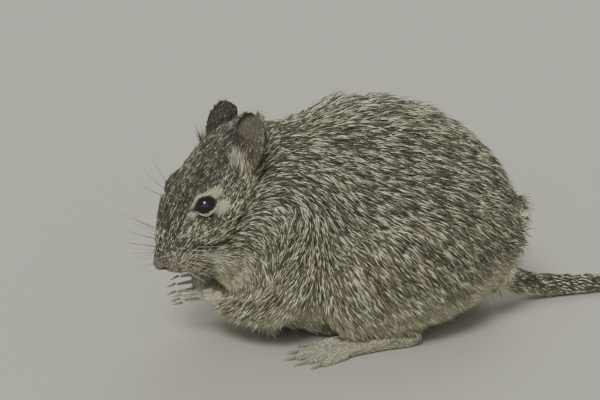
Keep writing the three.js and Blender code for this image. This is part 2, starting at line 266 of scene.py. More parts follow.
class Signal:
    """A shader value that can be written as arithmetic.

    Args:
        graph: material graph that the value belongs to.
        socket: output socket that carries the value.
    """

    def __init__(self, graph: "Graph", socket: bpy.types.NodeSocket) -> None:
        self.graph = graph
        self.socket = socket

    def _math(self, operation: str, *values: "Signal | float") -> "Signal":
        """Add one Math node and return its result."""
        node = self.graph.node("ShaderNodeMath", {"operation": operation}, dict(enumerate(values)))
        return Signal(self.graph, node.outputs[0])

    def __add__(self, other: "Signal | float") -> "Signal":
        """Add."""
        return self._math("ADD", self, other)

    def __radd__(self, other: float) -> "Signal":
        """Add from the left."""
        return self._math("ADD", other, self)

    def __sub__(self, other: "Signal | float") -> "Signal":
        """Subtract."""
        return self._math("SUBTRACT", self, other)

    def __rsub__(self, other: float) -> "Signal":
        """Subtract from the left."""
        return self._math("SUBTRACT", other, self)

    def __mul__(self, other: "Signal | float") -> "Signal":
        """Multiply."""
        return self._math("MULTIPLY", self, other)

    def __rmul__(self, other: float) -> "Signal":
        """Multiply from the left."""
        return self._math("MULTIPLY", other, self)

    def rise(self, low: float, high: float) -> "Signal":
        """Rise smoothly from 0 at low to 1 at high.

        Args:
            low: value where the result is 0.
            high: value where the result is 1.

        Returns:
            The smooth step.
        """
        node = self.graph.node(
            "ShaderNodeMapRange",
            {"interpolation_type": "SMOOTHSTEP", "clamp": True},
            {"Value": self, "From Min": low, "From Max": high},
        )
        return Signal(self.graph, node.outputs[0])


def feed(tree: bpy.types.NodeTree, socket: bpy.types.NodeSocket, value: object) -> None:
    """Link a signal or an output to a socket, or set the socket's own value.

    Args:
        tree: tree that the socket belongs to.
        socket: input socket of a node.
        value: signal, output socket or plain value.
    """
    if isinstance(value, Signal):
        value = value.socket
    if isinstance(value, bpy.types.NodeSocket):
        tree.links.new(value, socket)
    else:
        socket.default_value = value


def add_node(tree: bpy.types.NodeTree, kind: str, settings: dict, inputs: dict) -> bpy.types.Node:
    """Add one node to a tree.

    Args:
        tree: tree of a material or of Geometry Nodes.
        kind: Blender's name of the node type.
        settings: attributes that are set first.
        inputs: values or links of the sockets, by name or number.

    Returns:
        The new node.
    """
    made = tree.nodes.new(kind)
    for key, value in settings.items():
        setattr(made, key, value)
    for key, value in inputs.items():
        feed(tree, made.inputs[key], value)
    return made


class Graph:
    """Node graph of one material, with a Principled surface.

    Args:
        name: name of the material.
    """

    def __init__(self, name: str) -> None:
        self.material = bpy.data.materials.new(name)
        self.material.use_nodes = True
        self.tree = self.material.node_tree
        self.surface = self.tree.nodes["Principled BSDF"]

    def node(self, kind: str, settings: dict, inputs: dict) -> bpy.types.Node:
        """Add one node to the material."""
        return add_node(self.tree, kind, settings, inputs)

    def split(self, attribute: str) -> tuple[Signal, Signal, Signal]:
        """Read a vector attribute of the mesh as three signals.

        Args:
            attribute: name of the attribute.

        Returns:
            Its three parts.
        """
        source = self.node("ShaderNodeAttribute", {"attribute_name": attribute}, {})
        parts = self.node("ShaderNodeSeparateXYZ", {}, {0: source.outputs["Vector"]})
        return tuple(Signal(self, output) for output in parts.outputs)

    def blend(self, amount: Signal | float, first: object, second: object) -> bpy.types.NodeSocket:
        """Mix two colours.

        Args:
            amount: 0 gives the first colour and 1 the second.
            first: colour or colour socket.
            second: colour or colour socket.

        Returns:
            Socket of the mixed colour.
        """
        node = self.node("ShaderNodeMix", {"data_type": "RGBA"}, {0: amount, 6: first, 7: second})
        return node.outputs[2]

    def grain(self, scale: float, detail: float = 3.0) -> Signal:
        """Return noise on the object's own coordinates.

        Args:
            scale: blotches to the metre.
            detail: octaves of finer noise.

        Returns:
            Noise between 0 and 1.
        """
        place = self.node("ShaderNodeTexCoord", {}, {})
        noise = self.node(
            "ShaderNodeTexNoise",
            {},
            {"Vector": place.outputs["Object"], "Scale": scale, "Detail": detail},
        )
        return Signal(self, noise.outputs[0])

    def bump(self, height: Signal, distance: float, strength: float = 1.0) -> None:
        """Raise the surface by a height signal.

        Args:
            height: signal of the height.
            distance: height in metres where the signal is 1.
            strength: share of the effect.
        """
        node = self.node(
            "ShaderNodeBump", {}, {"Height": height, "Distance": distance, "Strength": strength}
        )
        feed(self.tree, self.surface.inputs["Normal"], node.outputs[0])

    def gloss(self, **values: object) -> None:
        """Set or link sockets of the surface, named with underscores for spaces."""
        for key, value in values.items():
            feed(self.tree, self.surface.inputs[key.replace("_", " ")], value)


def colour(red: float, green: float, blue: float) -> Colour:
    """Return a linear colour with full alpha."""
    return (red, green, blue, 1.0)


@dataclass(frozen=True)
class CoatFinish:
    """Banded hair: dark root, coloured band, and a tip that is dark or cream.

    Attributes:
        root: colour of the root.
        back: colour of the band on the back.
        warm: colour of the band where the coat is warm.
        pale: colour of the band where the coat is pale.
        dark: colour of dark tips and of the dark markings, which include painted shade in the crease of
            the mouth, the nostrils and the split of the lip.
        tick: colour of cream tips.
        root_end: shares of the length over which the root passes into the band.
        tick_tone: tones of a lock between which its tip turns cream.
        tick_band: shares of the length over which the cream begins.
        tick_end: shares of the length over which it weakens again.
        black_tone: tones of a lock between which its tip loses its black.
        black_band: shares of the length over which the black begins.
        marking: weights of a dark marking between which it shows.
    """

    root: Colour = colour(0.030, 0.030, 0.024)
    back: Colour = colour(0.182, 0.180, 0.124)
    warm: Colour = colour(0.310, 0.255, 0.155)
    pale: Colour = colour(0.700, 0.680, 0.500)
    dark: Colour = colour(0.014, 0.013, 0.011)
    tick: Colour = colour(0.910, 0.880, 0.680)
    root_end: Span = (0.10, 0.55)
    tick_tone: Span = (0.58, 0.72)
    tick_band: Span = (0.25, 0.50)
    tick_end: Span = (0.90, 1.0)
    black_tone: Span = (0.30, 0.44)
    black_band: Span = (0.20, 0.60)
    marking: Span = (0.15, 1.0)

    def make(self) -> bpy.types.Material:
        """Build the material that reads the marking and strand attributes."""
        graph = Graph("agouti_coat")
        pale, dark, warm = graph.split("markings")
        along, tone, _ = graph.split("strand")
        tone = tone - dark * 0.35
        body = graph.blend(warm, self.back, self.warm)
        body = graph.blend(pale, body, self.pale)
        rooted = graph.blend(along.rise(*self.root_end), self.root, body)
        rooted = graph.blend(pale * 0.75, rooted, body)
        ticked = tone.rise(*self.tick_tone) * along.rise(*self.tick_band)
        ticked = ticked * (1.0 - along.rise(*self.tick_end) * 0.4)
        tipped = graph.blend(ticked, rooted, self.tick)
        black = (1.0 - tone.rise(*self.black_tone)) * along.rise(*self.black_band) * (1.0 - pale)
        tipped = graph.blend(black * 0.85, tipped, self.dark)
        graph.gloss(
            Base_Color=graph.blend(dark.rise(*self.marking), tipped, self.dark),
            Roughness=0.62,
            Specular_IOR_Level=0.30,
            Sheen_Weight=0.12,
            Sheen_Roughness=0.5,
        )
        return graph.material


@dataclass(frozen=True)
class SkinFinish:
    """Skin under the coat, with bare pinkish grey on nose, ears and paws.

    Attributes:
        under: colour between the locks.
        pale: the same where the coat is pale.
        bare: colour of bare skin.
        palm: colour of pale bare skin.
        flush: colour of warm bare skin.
        spot: colour of the blotches on bare skin.
        dark: colour of the dark markings, which include painted shade in the crease of the mouth, the
            nostrils and the split of the lip.
        mottle: noise between which the blotches show.
        bump_height: height of the finest relief in metres.
    """

    under: Colour = colour(0.080, 0.070, 0.050)
    pale: Colour = colour(0.400, 0.360, 0.250)
    bare: Colour = colour(0.175, 0.145, 0.128)
    palm: Colour = colour(0.380, 0.350, 0.315)
    flush: Colour = colour(0.215, 0.140, 0.105)
    spot: Colour = colour(0.130, 0.095, 0.080)
    dark: Colour = colour(0.030, 0.024, 0.020)
    mottle: Span = (0.35, 0.75)
    bump_height: float = 0.18 * MM

    def make(self) -> bpy.types.Material:
        """Build the material that reads the marking and bareness attributes."""
        graph = Graph("degu_skin")
        pale, dark, warm = graph.split("markings")
        _, _, bare = graph.split("strand")
        mottle = graph.grain(900.0)
        pores = graph.grain(4200.0, 4.0)
        under = graph.blend(pale, self.under, self.pale)
        naked = graph.blend(warm, self.bare, self.flush)
        naked = graph.blend(pale, naked, self.palm)
        shown = graph.blend(bare, under, naked)
        spotted = graph.blend(mottle.rise(*self.mottle) * bare * 0.45, shown, self.spot)
        graph.gloss(
            Base_Color=graph.blend(dark, spotted, self.dark),
            Roughness=0.62 - bare * 0.12,
            Specular_IOR_Level=0.35,
        )
        graph.bump(pores + mottle * 0.5, self.bump_height, 0.8)
        return graph.material


@dataclass(frozen=True)
class EyeFinish:
    """Wet, nearly black eye with a faint brown iris.

    Attributes:
        pupil: colour of the pupil.
        iris: colour of the iris.
        rim: colour of the iris between its streaks, and outside it.
        pupil_edge: where the pupil ends, in right angles from the gaze.
        iris_edge: where the iris ends, in right angles from the gaze.
    """

    pupil: Colour = colour(0.004, 0.003, 0.003)
    iris: Colour = colour(0.016, 0.009, 0.005)
    rim: Colour = colour(0.006, 0.005, 0.004)
    pupil_edge: Span = (0.34, 0.42)
    iris_edge: Span = (0.78, 0.95)

    def make(self) -> bpy.types.Material:
        """Build the material that reads how far a point is from the gaze."""
        graph = Graph("eye_wet")
        off, _, _ = graph.split("gaze")
        streak = graph.grain(2600.0, 4.0) * 0.6 + 0.5
        iris = graph.blend(streak * 0.5, self.rim, self.iris)
        inner = graph.blend(off.rise(*self.pupil_edge), self.pupil, iris)
        graph.gloss(
            Base_Color=graph.blend(off.rise(*self.iris_edge), inner, self.rim),
            Roughness=0.06,
            Specular_IOR_Level=0.3,
            Coat_Weight=0.5,
            Coat_Roughness=0.02,
        )
        return graph.material


@dataclass(frozen=True)
class HornFinish:
    """Horn of the claws or of the whiskers, streaked in two shades.

    Attributes:
        name: name of the material.
        deep: darker shade.
        light: lighter shade.
        roughness: roughness of the surface.
    """

    name: str
    deep: Colour
    light: Colour
    roughness: float

    def make(self) -> bpy.types.Material:
        """Build a material that is streaked along the object's own coordinates."""
        graph = Graph(self.name)
        streak = graph.grain(1500.0, 2.0)
        graph.gloss(
            Base_Color=graph.blend(streak.rise(0.35, 0.65), self.deep, self.light),
            Roughness=self.roughness,
            Specular_IOR_Level=0.5,
        )
        return graph.material


CLAW_HORN = HornFinish("claw_horn", colour(0.20, 0.155, 0.115), colour(0.34, 0.28, 0.21), 0.35)
PALE_HAIR = HornFinish("whisker_pale", colour(0.42, 0.38, 0.30), colour(0.62, 0.58, 0.50), 0.4)
DARK_HAIR = HornFinish("whisker_dark", colour(0.03, 0.024, 0.02), colour(0.09, 0.075, 0.06), 0.4)


@dataclass(frozen=True)
class FloorFinish:
    """Plain pale floor."""

    shade: Colour = colour(0.41, 0.405, 0.36)

    def make(self) -> bpy.types.Material:
        """Build the matt floor."""
        graph = Graph("pale_floor")
        graph.gloss(Base_Color=self.shade, Roughness=0.9, Specular_IOR_Level=0.1)
        return graph.material


def add_object(name: str, data: bpy.types.ID) -> bpy.types.Object:
    """Put a mesh, a light or a camera in the scene as an object at the origin.

    Args:
        name: name of the object.
        data: mesh, light or camera.

    Returns:
        The new object.
    """
    made = bpy.data.objects.new(name, data)
    bpy.context.scene.collection.objects.link(made)
    return made


def mesh_arrays(mesh: bpy.types.Mesh) -> tuple[np.ndarray, np.ndarray]:
    """Read a triangle mesh.

    Args:
        mesh: mesh whose faces all have three corners.

    Returns:
        Places of the vertices and the three vertex numbers of each face.
    """
    places = np.empty(len(mesh.vertices) * 3, np.float32)
    mesh.vertices.foreach_get("co", places)
    corners = np.empty(len(mesh.loops), np.int32)
    mesh.loops.foreach_get("vertex_index", corners)
    return places.reshape(-1, 3).astype(float), corners.reshape(-1, 3)


def write_places(mesh: bpy.types.Mesh, places: np.ndarray) -> None:
    """Move the vertices of a mesh."""
    mesh.vertices.foreach_set("co", places.astype(np.float32).ravel())


def write_vectors(mesh: bpy.types.Mesh, name: str, values: np.ndarray) -> None:
    """Store one vector for each vertex as a named attribute."""
    layer = mesh.attributes.new(name, "FLOAT_VECTOR", "POINT")
    layer.data.foreach_set("vector", values.astype(np.float32).ravel())


def triangle_mesh(name: str, places: np.ndarray, faces: np.ndarray) -> bpy.types.Mesh:
    """Build a smooth mesh of triangles from arrays.

    Args:
        name: name of the mesh.
        places: vertices, one row each.
        faces: three vertex numbers to a face.

    Returns:
        The new mesh.
    """
    mesh = bpy.data.meshes.new(name)
    mesh.vertices.add(len(places))
    write_places(mesh, places)
    mesh.loops.add(faces.size)
    mesh.loops.foreach_set("vertex_index", faces.astype(np.int32).ravel())
    mesh.polygons.add(len(faces))
    mesh.polygons.foreach_set("loop_start", np.arange(0, faces.size, 3, dtype=np.int32))
    mesh.polygons.foreach_set("use_smooth", np.ones(len(faces), bool))
    mesh.update(calc_edges=True)
    mesh.validate()
    return mesh


def merged_copy(*nodes: str) -> bmesh.types.BMesh:
    """Return one copy of CAD nodes with their doubled vertices merged.

    Args:
        nodes: names of the nodes.

    Returns:
        The copy as an open bmesh.
    """
    work = bmesh.new()
    for name in nodes:
        work.from_mesh(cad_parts[name].data)
    bmesh.ops.remove_doubles(work, verts=work.verts, dist=DOUBLED)
    return work


def written(work: bmesh.types.BMesh, mesh: bpy.types.Mesh) -> bpy.types.Mesh:
    """Write a bmesh into a mesh, free it, and return the mesh.

    Args:
        work: finished bmesh.
        mesh: mesh that takes it.

    Returns:
        The same mesh.
    """
    work.to_mesh(mesh)
    work.free()
    return mesh


def evaluated(source: bpy.types.Object) -> bpy.types.Mesh:
    """Return the mesh that an object's modifiers give, and remove them.

    Args:
        source: object with modifiers.

    Returns:
        A new plain mesh.
    """
    bpy.context.view_layer.update()
    graph = bpy.context.evaluated_depsgraph_get()
    mesh = bpy.data.meshes.new_from_object(source.evaluated_get(graph))
    source.modifiers.clear()
    return mesh


@dataclass(frozen=True)
class Zone:
    """Coat on one part of the body.

    Attributes:
        length: length of a lock in millimetres.
        depth: how far the skin lies inside the coat's outline in millimetres.
        width: width of a lock at its thickest in millimetres.
        density: locks to the square millimetre.
        lift: angle of a lock above the skin in degrees.
        flow: direction in which the coat lies, in the world.
        smooth: rounds of smoothing that the skin takes.
        bare: how much of the bare skin shows.
        tint: pale, dark and warm weight all over the zone.
    """

    length: float
    depth: float
    width: float
    density: float
    lift: float
    flow: tuple[float, float, float]
    smooth: int
    bare: float = 0.0
    tint: tuple[float, float, float] = (0.0, 0.0, 0.0)


ZONES = {
    "head": Zone(3.7, 0.7, 0.24, 7.2, 11, (0.0, 0.8, 0.6), 14, 0.0, (0.0, 0.17, 0.25)),
    "lower_jaw": Zone(3.4, 0.5, 0.30, 4.5, 16, (0.0, 0.6, 0.5), 10, 0.0, (0.0, 0.17, 0.0)),
    "nose": Zone(0.7, 0.2, 0.16, 3.0, 14, (0.0, 0.6, 0.8), 3, 0.9, (0.0, 0.17, 0.0)),
    "neck": Zone(5.4, 1.3, 0.28, 5.2, 14, (0.0, 0.9, -0.2), 40),
    "trunk": Zone(7.6, 2.1, 0.31, 4.1, 14, (0.0, 0.9, -0.35), 60),
    "ear": Zone(1.1, 0.2, 0.15, 8.0, 9, (0.0, 0.25, 1.0), 3, 0.75, (0.0, 0.68, 0.0)),
    "foreleg": Zone(5.4, 1.3, 0.30, 4.4, 14, (-0.3, -0.55, -0.7), 20, 0.0, (0.0, 0.0, 0.5)),
    "forepaw": Zone(1.0, -0.15, 0.15, 6.0, 7, (-0.2, -1.0, 0.0), 1, 0.8, (0.85, 0.0, 0.0)),
    "hind_leg": Zone(6.6, 1.6, 0.31, 4.0, 14, (0.0, 0.7, -0.7), 50, 0.0, (0.0, 0.0, 0.5)),
    "hind_foot": Zone(1.5, 0.2, 0.18, 5.5, 10, (0.0, -1.0, -0.15), 3, 0.6, (0.7, 0.0, 0.0)),
    "tail_base": Zone(4.0, 0.6, 0.34, 3.2, 12, (-0.05, 1.0, -0.35), 10, 0.0, (0.0, 0.25, 0.0)),
    "tail_middle": Zone(2.6, 0.35, 0.28, 3.6, 12, (0.1, 1.0, 0.0), 6, 0.0, (0.0, 0.45, 0.0)),
    "tail_brush": Zone(7.5, 0.7, 0.30, 6.0, 14, (0.55, 0.8, 0.0), 4, 0.0, (0.0, 0.95, 0.0)),
}
ZONE_NAMES = tuple(ZONES)
FURRED = ("head", "lower_jaw", "neck", "trunk", "foreleg", "hind_leg")


def zone_of(node: str) -> int:
    """Return the number of the zone that a node of flesh belongs to."""
    return ZONE_NAMES.index(node.removesuffix("_left").removesuffix("_right"))


def zone_values(key: str) -> np.ndarray:
    """Return one field of every zone, one row each."""
    return np.array([getattr(zone, key) for zone in ZONES.values()], float)


def share_of(member: np.ndarray, *names: str) -> np.ndarray:
    """Add up the membership of some zones, given one column for each zone."""
    return member[:, [ZONE_NAMES.index(name) for name in names]].sum(axis=1)


class Surface:
    """Arrays of a triangle mesh with smoothing over its edges.

    Args:
        places: vertices, one row each.
        faces: three vertex numbers to a face.
    """

    SHRINK = 0.5
    SWELL = -0.52

    def __init__(self, places: np.ndarray, faces: np.ndarray) -> None:
        self.places = places
        self.faces = faces
        pairs = np.sort(np.vstack([faces[:, [0, 1]], faces[:, [1, 2]], faces[:, [2, 0]]]), axis=1)
        self.edges = np.unique(pairs, axis=0)
        self.degree = np.maximum(np.bincount(self.edges.ravel(), minlength=len(places)), 1)

    def mean_of_neighbours(self, values: np.ndarray) -> np.ndarray:
        """Return for each vertex the mean of the values next to it.

        Args:
            values: one row to a vertex.

        Returns:
            Means, one row to a vertex.
        """
        first, second = self.edges.T
        count = len(self.places)
        total = np.empty_like(values)
        for axis in range(values.shape[1]):
            column = values[:, axis]
            total[:, axis] = np.bincount(first, column[second], count)
            total[:, axis] += np.bincount(second, column[first], count)
        return total / self.degree[:, None]

    def soften(self, values: np.ndarray, rounds: int) -> np.ndarray:
        """Spread values over the surface for a number of rounds.

        Args:
            values: one row to a vertex.
            rounds: number of rounds.

        Returns:
            Softened values, one row to a vertex.
        """
        for _ in range(rounds):
            values = 0.5 * values + 0.5 * self.mean_of_neighbours(values)
        return values

    def relax(self, rounds: np.ndarray) -> None:
        """Smooth the form without shrinking it, each vertex for its own number of rounds.

        Args:
            rounds: number of rounds for each vertex.
        """
        for step in range(int(rounds.max())):
            active = (rounds > step)[:, None]
            for weight in (self.SHRINK, self.SWELL):
                shift = self.mean_of_neighbours(self.places) - self.places
                self.places = self.places + weight * shift * active

    def crosses(self) -> np.ndarray:
        """Return for each face its outward normal, as long as twice its area."""
        a, b, c = (self.places[self.faces[:, k]] for k in range(3))
        return np.cross(b - a, c - a)

    def normals(self) -> np.ndarray:
        """Return the outward normal at each vertex."""
        crosses = self.crosses()
        total = np.zeros_like(self.places)
        for axis in range(3):
            for corner in self.faces.T:
                total[:, axis] += np.bincount(corner, crosses[:, axis], len(self.places))
        return unit(total)

    def areas(self) -> np.ndarray:
        """Return the area of each face."""
        return 0.5 * np.linalg.norm(self.crosses(), axis=1)


class EarLeaf:
    """Frame of one ear, found from its node: two axes along the leaf, one out of its hollow.

    Args:
        side: left or right.
    """

    RIM: Span = (0.86, 0.96)
    THICK: Span = (1.6, 1.2)
    REACH: Span = (1.5, 1.2)
    FACING: Span = (0.0, 0.45)

    def __init__(self, side: str) -> None:
        places, _ = mesh_arrays(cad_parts[f"ear_{side}"].data)
        self.centre = (places.min(axis=0) + places.max(axis=0)) / 2
        _, _, axes = np.linalg.svd(places - places.mean(axis=0), full_matrices=False)
        off = (places - self.centre) @ axes.T
        self.half = np.abs(off).max(axis=0)
        outer = self.spread(off) > self.RIM[0]
        if off[outer, 2].mean() < off[~outer, 2].mean():
            axes[2] = -axes[2]
        self.axes = axes

    def spread(self, off: np.ndarray) -> np.ndarray:
        """Return how far out on the leaf places in its frame are, 1 at its rim."""
        return np.hypot(off[:, 0] / self.half[0], off[:, 1] / self.half[1])

    def parts(self, places: np.ndarray, normals: np.ndarray) -> tuple[np.ndarray, np.ndarray]:
        """Tell the rim and the hollow face apart.

        Args:
            places: world places, one row each.
            normals: outward normals there.

        Returns:
            Weight of the rim and weight of the hollow face.
        """
        off = (places - self.centre) @ self.axes.T
        out = self.spread(off)
        far, close = (self.half[2] * limit for limit in self.THICK)
        near = ramp(np.abs(off[:, 2]), far, close) * ramp(out, *self.REACH)
        rim = ramp(out, *self.RIM) * near
        hollow = ramp(normals @ self.axes[2], *self.FACING) * (1.0 - rim) * near
        return rim, hollow


EARS = tuple(EarLeaf(side) for side in SIDES)


class ZoneMap:
    """Finds which part of the body a place on the skin belongs to."""

    SPACING = 1.0 * MM
    LEAST = 8

    def __init__(self) -> None:
        rng = np.random.default_rng(SEED)
        points, owners = [], []
        for name in FLESH:
            places, faces = mesh_arrays(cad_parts[name].data)
            areas = Surface(places, faces).areas()
            count = int(areas.sum() / self.SPACING**2) + self.LEAST
            chosen = rng.choice(len(faces), count, p=areas / areas.sum())
            weights = rng.dirichlet((1.0, 1.0, 1.0), count)
            points.append(np.einsum("nk,nkj->nj", weights, places[faces[chosen]]))
            owners.append(np.full(count, zone_of(name)))
        self.owners = np.concatenate(owners)
        self.tree = KDTree(len(self.owners))
        for index, point in enumerate(np.vstack(points)):
            self.tree.insert(point, index)
        self.tree.balance()

    def lookup(self, places: np.ndarray) -> np.ndarray:
        """Return the zone number of each place."""
        return np.array([self.owners[self.tree.find(p)[1]] for p in places])


class Spots:
    """Places on the skin, measured as the markings need them, in millimetres.

    Args:
        places: world places, one row each.
        normals: outward normals there.
        member: softened membership of each zone, one column each.
    """

    DOWN: Span = (0.10, -0.55)

    def __init__(self, places: np.ndarray, normals: np.ndarray, member: np.ndarray) -> None:
        self.places, self.normals, self.member = places, normals, member
        self.local = HEAD.inward(places)
        lateral, self.back, self.up = self.local.T
        self.lateral = np.abs(lateral)
        self.height = places[:, 2] / MM
        self.facing_down = ramp(normals[:, 2], *self.DOWN)
        self.on_head = share_of(member, "head", "lower_jaw", "nose")
        self.on_neck = share_of(member, "neck")
        self.on_body = share_of(member, "trunk", "neck")
        self.on_legs = share_of(member, "hind_leg", "foreleg")
        self.on_ear = share_of(member, "ear")


Tints = dict[str, np.ndarray]


@dataclass(frozen=True)
class BodyMarkings:
    """Pale underside and warm flanks.

    Attributes:
        belly: heights between which faces that look down turn pale.
        low: heights between which the lower flank turns pale, partly its own cream underside and partly
            painted light standing in for light bounced from the floor into the shade under the belly.
        leg: heights between which the legs turn pale.
        nape: heights between which the neck turns darker.
        flank: heights between which the flanks turn warm.
    """

    belly: Span = (42.0, 22.0)
    # Partly painted light: lifts the shade under the belly.
    low: Span = (30.0, 12.0)
    leg: Span = (34.0, 12.0)
    nape: Span = (50.0, 62.0)
    flank: Span = (46.0, 20.0)

    def tints(self, spots: Spots) -> Tints:
        """Return the weights that the body's markings add.

        Args:
            spots: places on the skin.

        Returns:
            Weights by the name of the tint.
        """
        down, height = spots.facing_down, spots.height
        # The paler lower flank is partly the cream underside and partly painted light lifting the shade
        # under the belly.
        pale = spots.on_body * (down * ramp(height, *self.belly) + 0.75 * ramp(height, *self.low))
        pale += spots.on_legs * (0.25 * ramp(height, *self.leg) + 0.6 * down)
        pale += 0.5 * down * share_of(spots.member, "tail_base", "tail_middle")
        return {
            "pale": pale,
            "dark": 0.12 * spots.on_neck * ramp(height, *self.nape),
            "warm": spots.on_body * ramp(height, *self.flank) * (1.0 - 0.5 * down),
        }


@dataclass(frozen=True)
class FaceMarkings:
    """Dark crown, pale cheek under the line of the mouth, pale muzzle, and painted shade in the crease
    of the mouth, the nostrils and the split of the lip.

    Attributes:
        crown: heights in the head's frame between which the crown turns dark.
        mouth: back, up and slope of the line of the mouth.
        cheek: distances under that line between which the cheek turns pale.
        cheek_front: places back from the nose between which it begins.
        cheek_back: places back from the nose between which it ends.
        mouth_crease_shade: distances from the line of the mouth between which painted shade darkens its
            crease.
        mouth_crease_shade_front: places back from the nose between which that painted shade begins.
        fold_back: places back from the nose between which it ends.
        fold_side: distances to the side between which it begins.
        muzzle: centre of the pale muzzle.
        muzzle_size: distances from it between which the coat turns pale.
        nostril_shade: distances from a nostril between which painted shade darkens the skin.
        cleft_side: distances to the side between which painted shade darkens the split of the lip.
        cleft_up: heights between which it is dark.
        cleft_back: places back from the nose between which it ends.
    """

    crown: Span = (4.0, 12.0)
    mouth: tuple[float, float, float] = (10.0, -1.0, 0.93)
    cheek: Span = (-1.5, -4.5)
    cheek_front: Span = (7.0, 12.0)
    cheek_back: Span = (46.0, 34.0)
    # Painted shade in the crease along the line of the mouth.
    mouth_crease_shade: Span = (2.2, 0.6)
    mouth_crease_shade_front: Span = (8.0, 12.0)
    fold_back: Span = (27.0, 22.0)
    fold_side: Span = (4.0, 7.0)
    muzzle: tuple[float, float, float] = (0.0, 6.0, -3.5)
    muzzle_size: Span = (8.5, 5.5)
    # Painted shade in the nostrils and in the split of the lip.
    nostril_shade: Span = (1.5, 0.8)
    cleft_side: Span = (0.7, 0.2)
    cleft_up: Span = (-1.2, -2.2)
    cleft_back: Span = (9.0, 6.0)

    def tints(self, spots: Spots) -> Tints:
        """Return the weights that the face's markings add.

        Args:
            spots: places on the skin.

        Returns:
            Weights by the name of the tint.
        """
        side, back, up = spots.lateral, spots.back, spots.up
        mouth_back, mouth_up, slope = self.mouth
        line = up + slope * (back - mouth_back) - mouth_up
        cheek = ramp(line, *self.cheek) * ramp(back, *self.cheek_front)
        pale = 0.55 * cheek * ramp(back, *self.cheek_back) * (spots.on_head + spots.on_neck)
        off = np.linalg.norm(spots.local - np.array(self.muzzle), axis=1)
        pale += 0.40 * spots.on_head * ramp(off, *self.muzzle_size)

        # Painted shade: the crease of the mouth, the nostrils and the split of the lip are darkened.
        mouth_crease_shade = ramp(np.abs(line), *self.mouth_crease_shade) * ramp(back, *self.mouth_crease_shade_front)
        mouth_crease_shade *= ramp(back, *self.fold_back) * ramp(side, *self.fold_side)
        rim = np.hypot(side - NOSTRIL[0], back - NOSTRIL[1]) + 0.8 * np.abs(up - NOSTRIL[2])
        cleft = ramp(side, *self.cleft_side) * ramp(up, *self.cleft_up) * ramp(back, *self.cleft_back)
        dark = spots.on_head * (0.40 * ramp(up, *self.crown) + 0.65 * mouth_crease_shade)
        dark += 0.9 * ramp(rim, *self.nostril_shade) + 0.6 * cleft
        return {"pale": pale, "dark": dark}


@dataclass(frozen=True)
class EarMarkings:
    """Flushed hollow and a darker rim, with painted light making the hollow paler towards the top and
    painted shade darkening it towards its base.

    Attributes:
        leaf: the ear.
        upper: places back in the head's frame between which painted light makes the hollow paler and
            less flushed.
    """

    leaf: EarLeaf
    # Painted light on the upper hollow of the ear.
    upper: Span = (47.0, 56.0)

    def tints(self, spots: Spots) -> Tints:
        """Return the weights that one ear's markings add.

        Args:
            spots: places on the skin.

        Returns:
            Weights by the name of the tint.
        """
        rim, hollow = self.leaf.parts(spots.places, spots.normals)
        # Painted light: the hollow turns paler towards the top; lower down it stays warm and darker,
        # partly its own flush and partly painted shade.
        upper = ramp(spots.back, *self.upper)
        return {
            "pale": spots.on_ear * hollow * (0.10 + 0.40 * upper),
            "dark": spots.on_ear * (0.35 * rim - 0.10 * hollow),
            "warm": spots.on_ear * hollow * 0.9 * (1.0 - 0.75 * upper),
        }


@dataclass(frozen=True)
class EyeMarkings:
    """Dark lids in a pale ring, with a dark streak at the front corner.

    Attributes:
        socket: the eye.
        inner: opening at which the lids end and the ring begins.
        outer: opening at which the ring ends over the eye.
        below: how much further the ring goes under the eye, partly the ring's own shape and partly
            painted light lifting the shade on the skin that faces down there.
        under: angles upwards between which it does so.
        fade: width over which the ring ends.
        ring_reach: distances, in eye radii, between which the ring shows.
        lid_reach: distances, in eye radii, between which the lids are dark.
        gap: angles from the corners' line between which the ring opens there.
        streak: angles from that line between which the streak is dark.
        streak_start: shares of the way to the front corner between which it begins.
        streak_end: shares of that way between which it ends.
    """

    socket: EyeSocket
    inner: float = 1.12
    outer: float = 1.72
    # Partly painted light under the eye, where the skin faces down into shade.
    below: float = 0.50
    under: Span = (0.1, -0.1)
    fade: float = 0.3
    ring_reach: Span = (1.95, 1.6)
    lid_reach: Span = (2.2, 1.5)
    gap: Span = (0.05, 0.25)
    streak: Span = (0.12, 0.03)
    streak_start: Span = (0.9, 1.0)
    streak_end: Span = (1.9, 1.5)

    def tints(self, spots: Spots) -> Tints:
        """Return the weights that one eye's markings add.

        Args:
            spots: places on the skin.

        Returns:
            Weights by the name of the tint.
        """
        opening = self.socket.opening(spots.places)
        corner, up, distance = self.socket.angles(spots.places)
        level, ahead = np.abs(up), corner / LIDS.half_length
        close = by_radius(distance, *self.lid_reach)
        border = (self.inner - 0.06, self.inner + 0.04)

        # The ring reaches further under the eye, partly as painted light that lifts the shade where the
        # skin faces down.
        outer = self.outer + self.below * ramp(up, *self.under)
        ring = ramp(opening, *border) * ramp(opening, outer, outer - self.fade)
        ring *= by_radius(distance, *self.ring_reach)
        lid = ramp(opening, *reversed(border)) * close
        lid *= 0.45 + 0.45 * ramp(opening, self.inner, self.inner - 0.12)
        tear = ramp(level, *self.streak) * close
        tear *= ramp(ahead, *self.streak_start) * ramp(ahead, *self.streak_end)
        return {
            "pale": 1.3 * ring * ramp(level, *self.gap),
            "dark": lid + 0.95 * tear - 0.6 * ring,
        }


MARKINGS = (
    BodyMarkings(),
    FaceMarkings(),
    *(EarMarkings(leaf) for leaf in EARS),
    *(EyeMarkings(socket) for socket in SOCKETS),
)


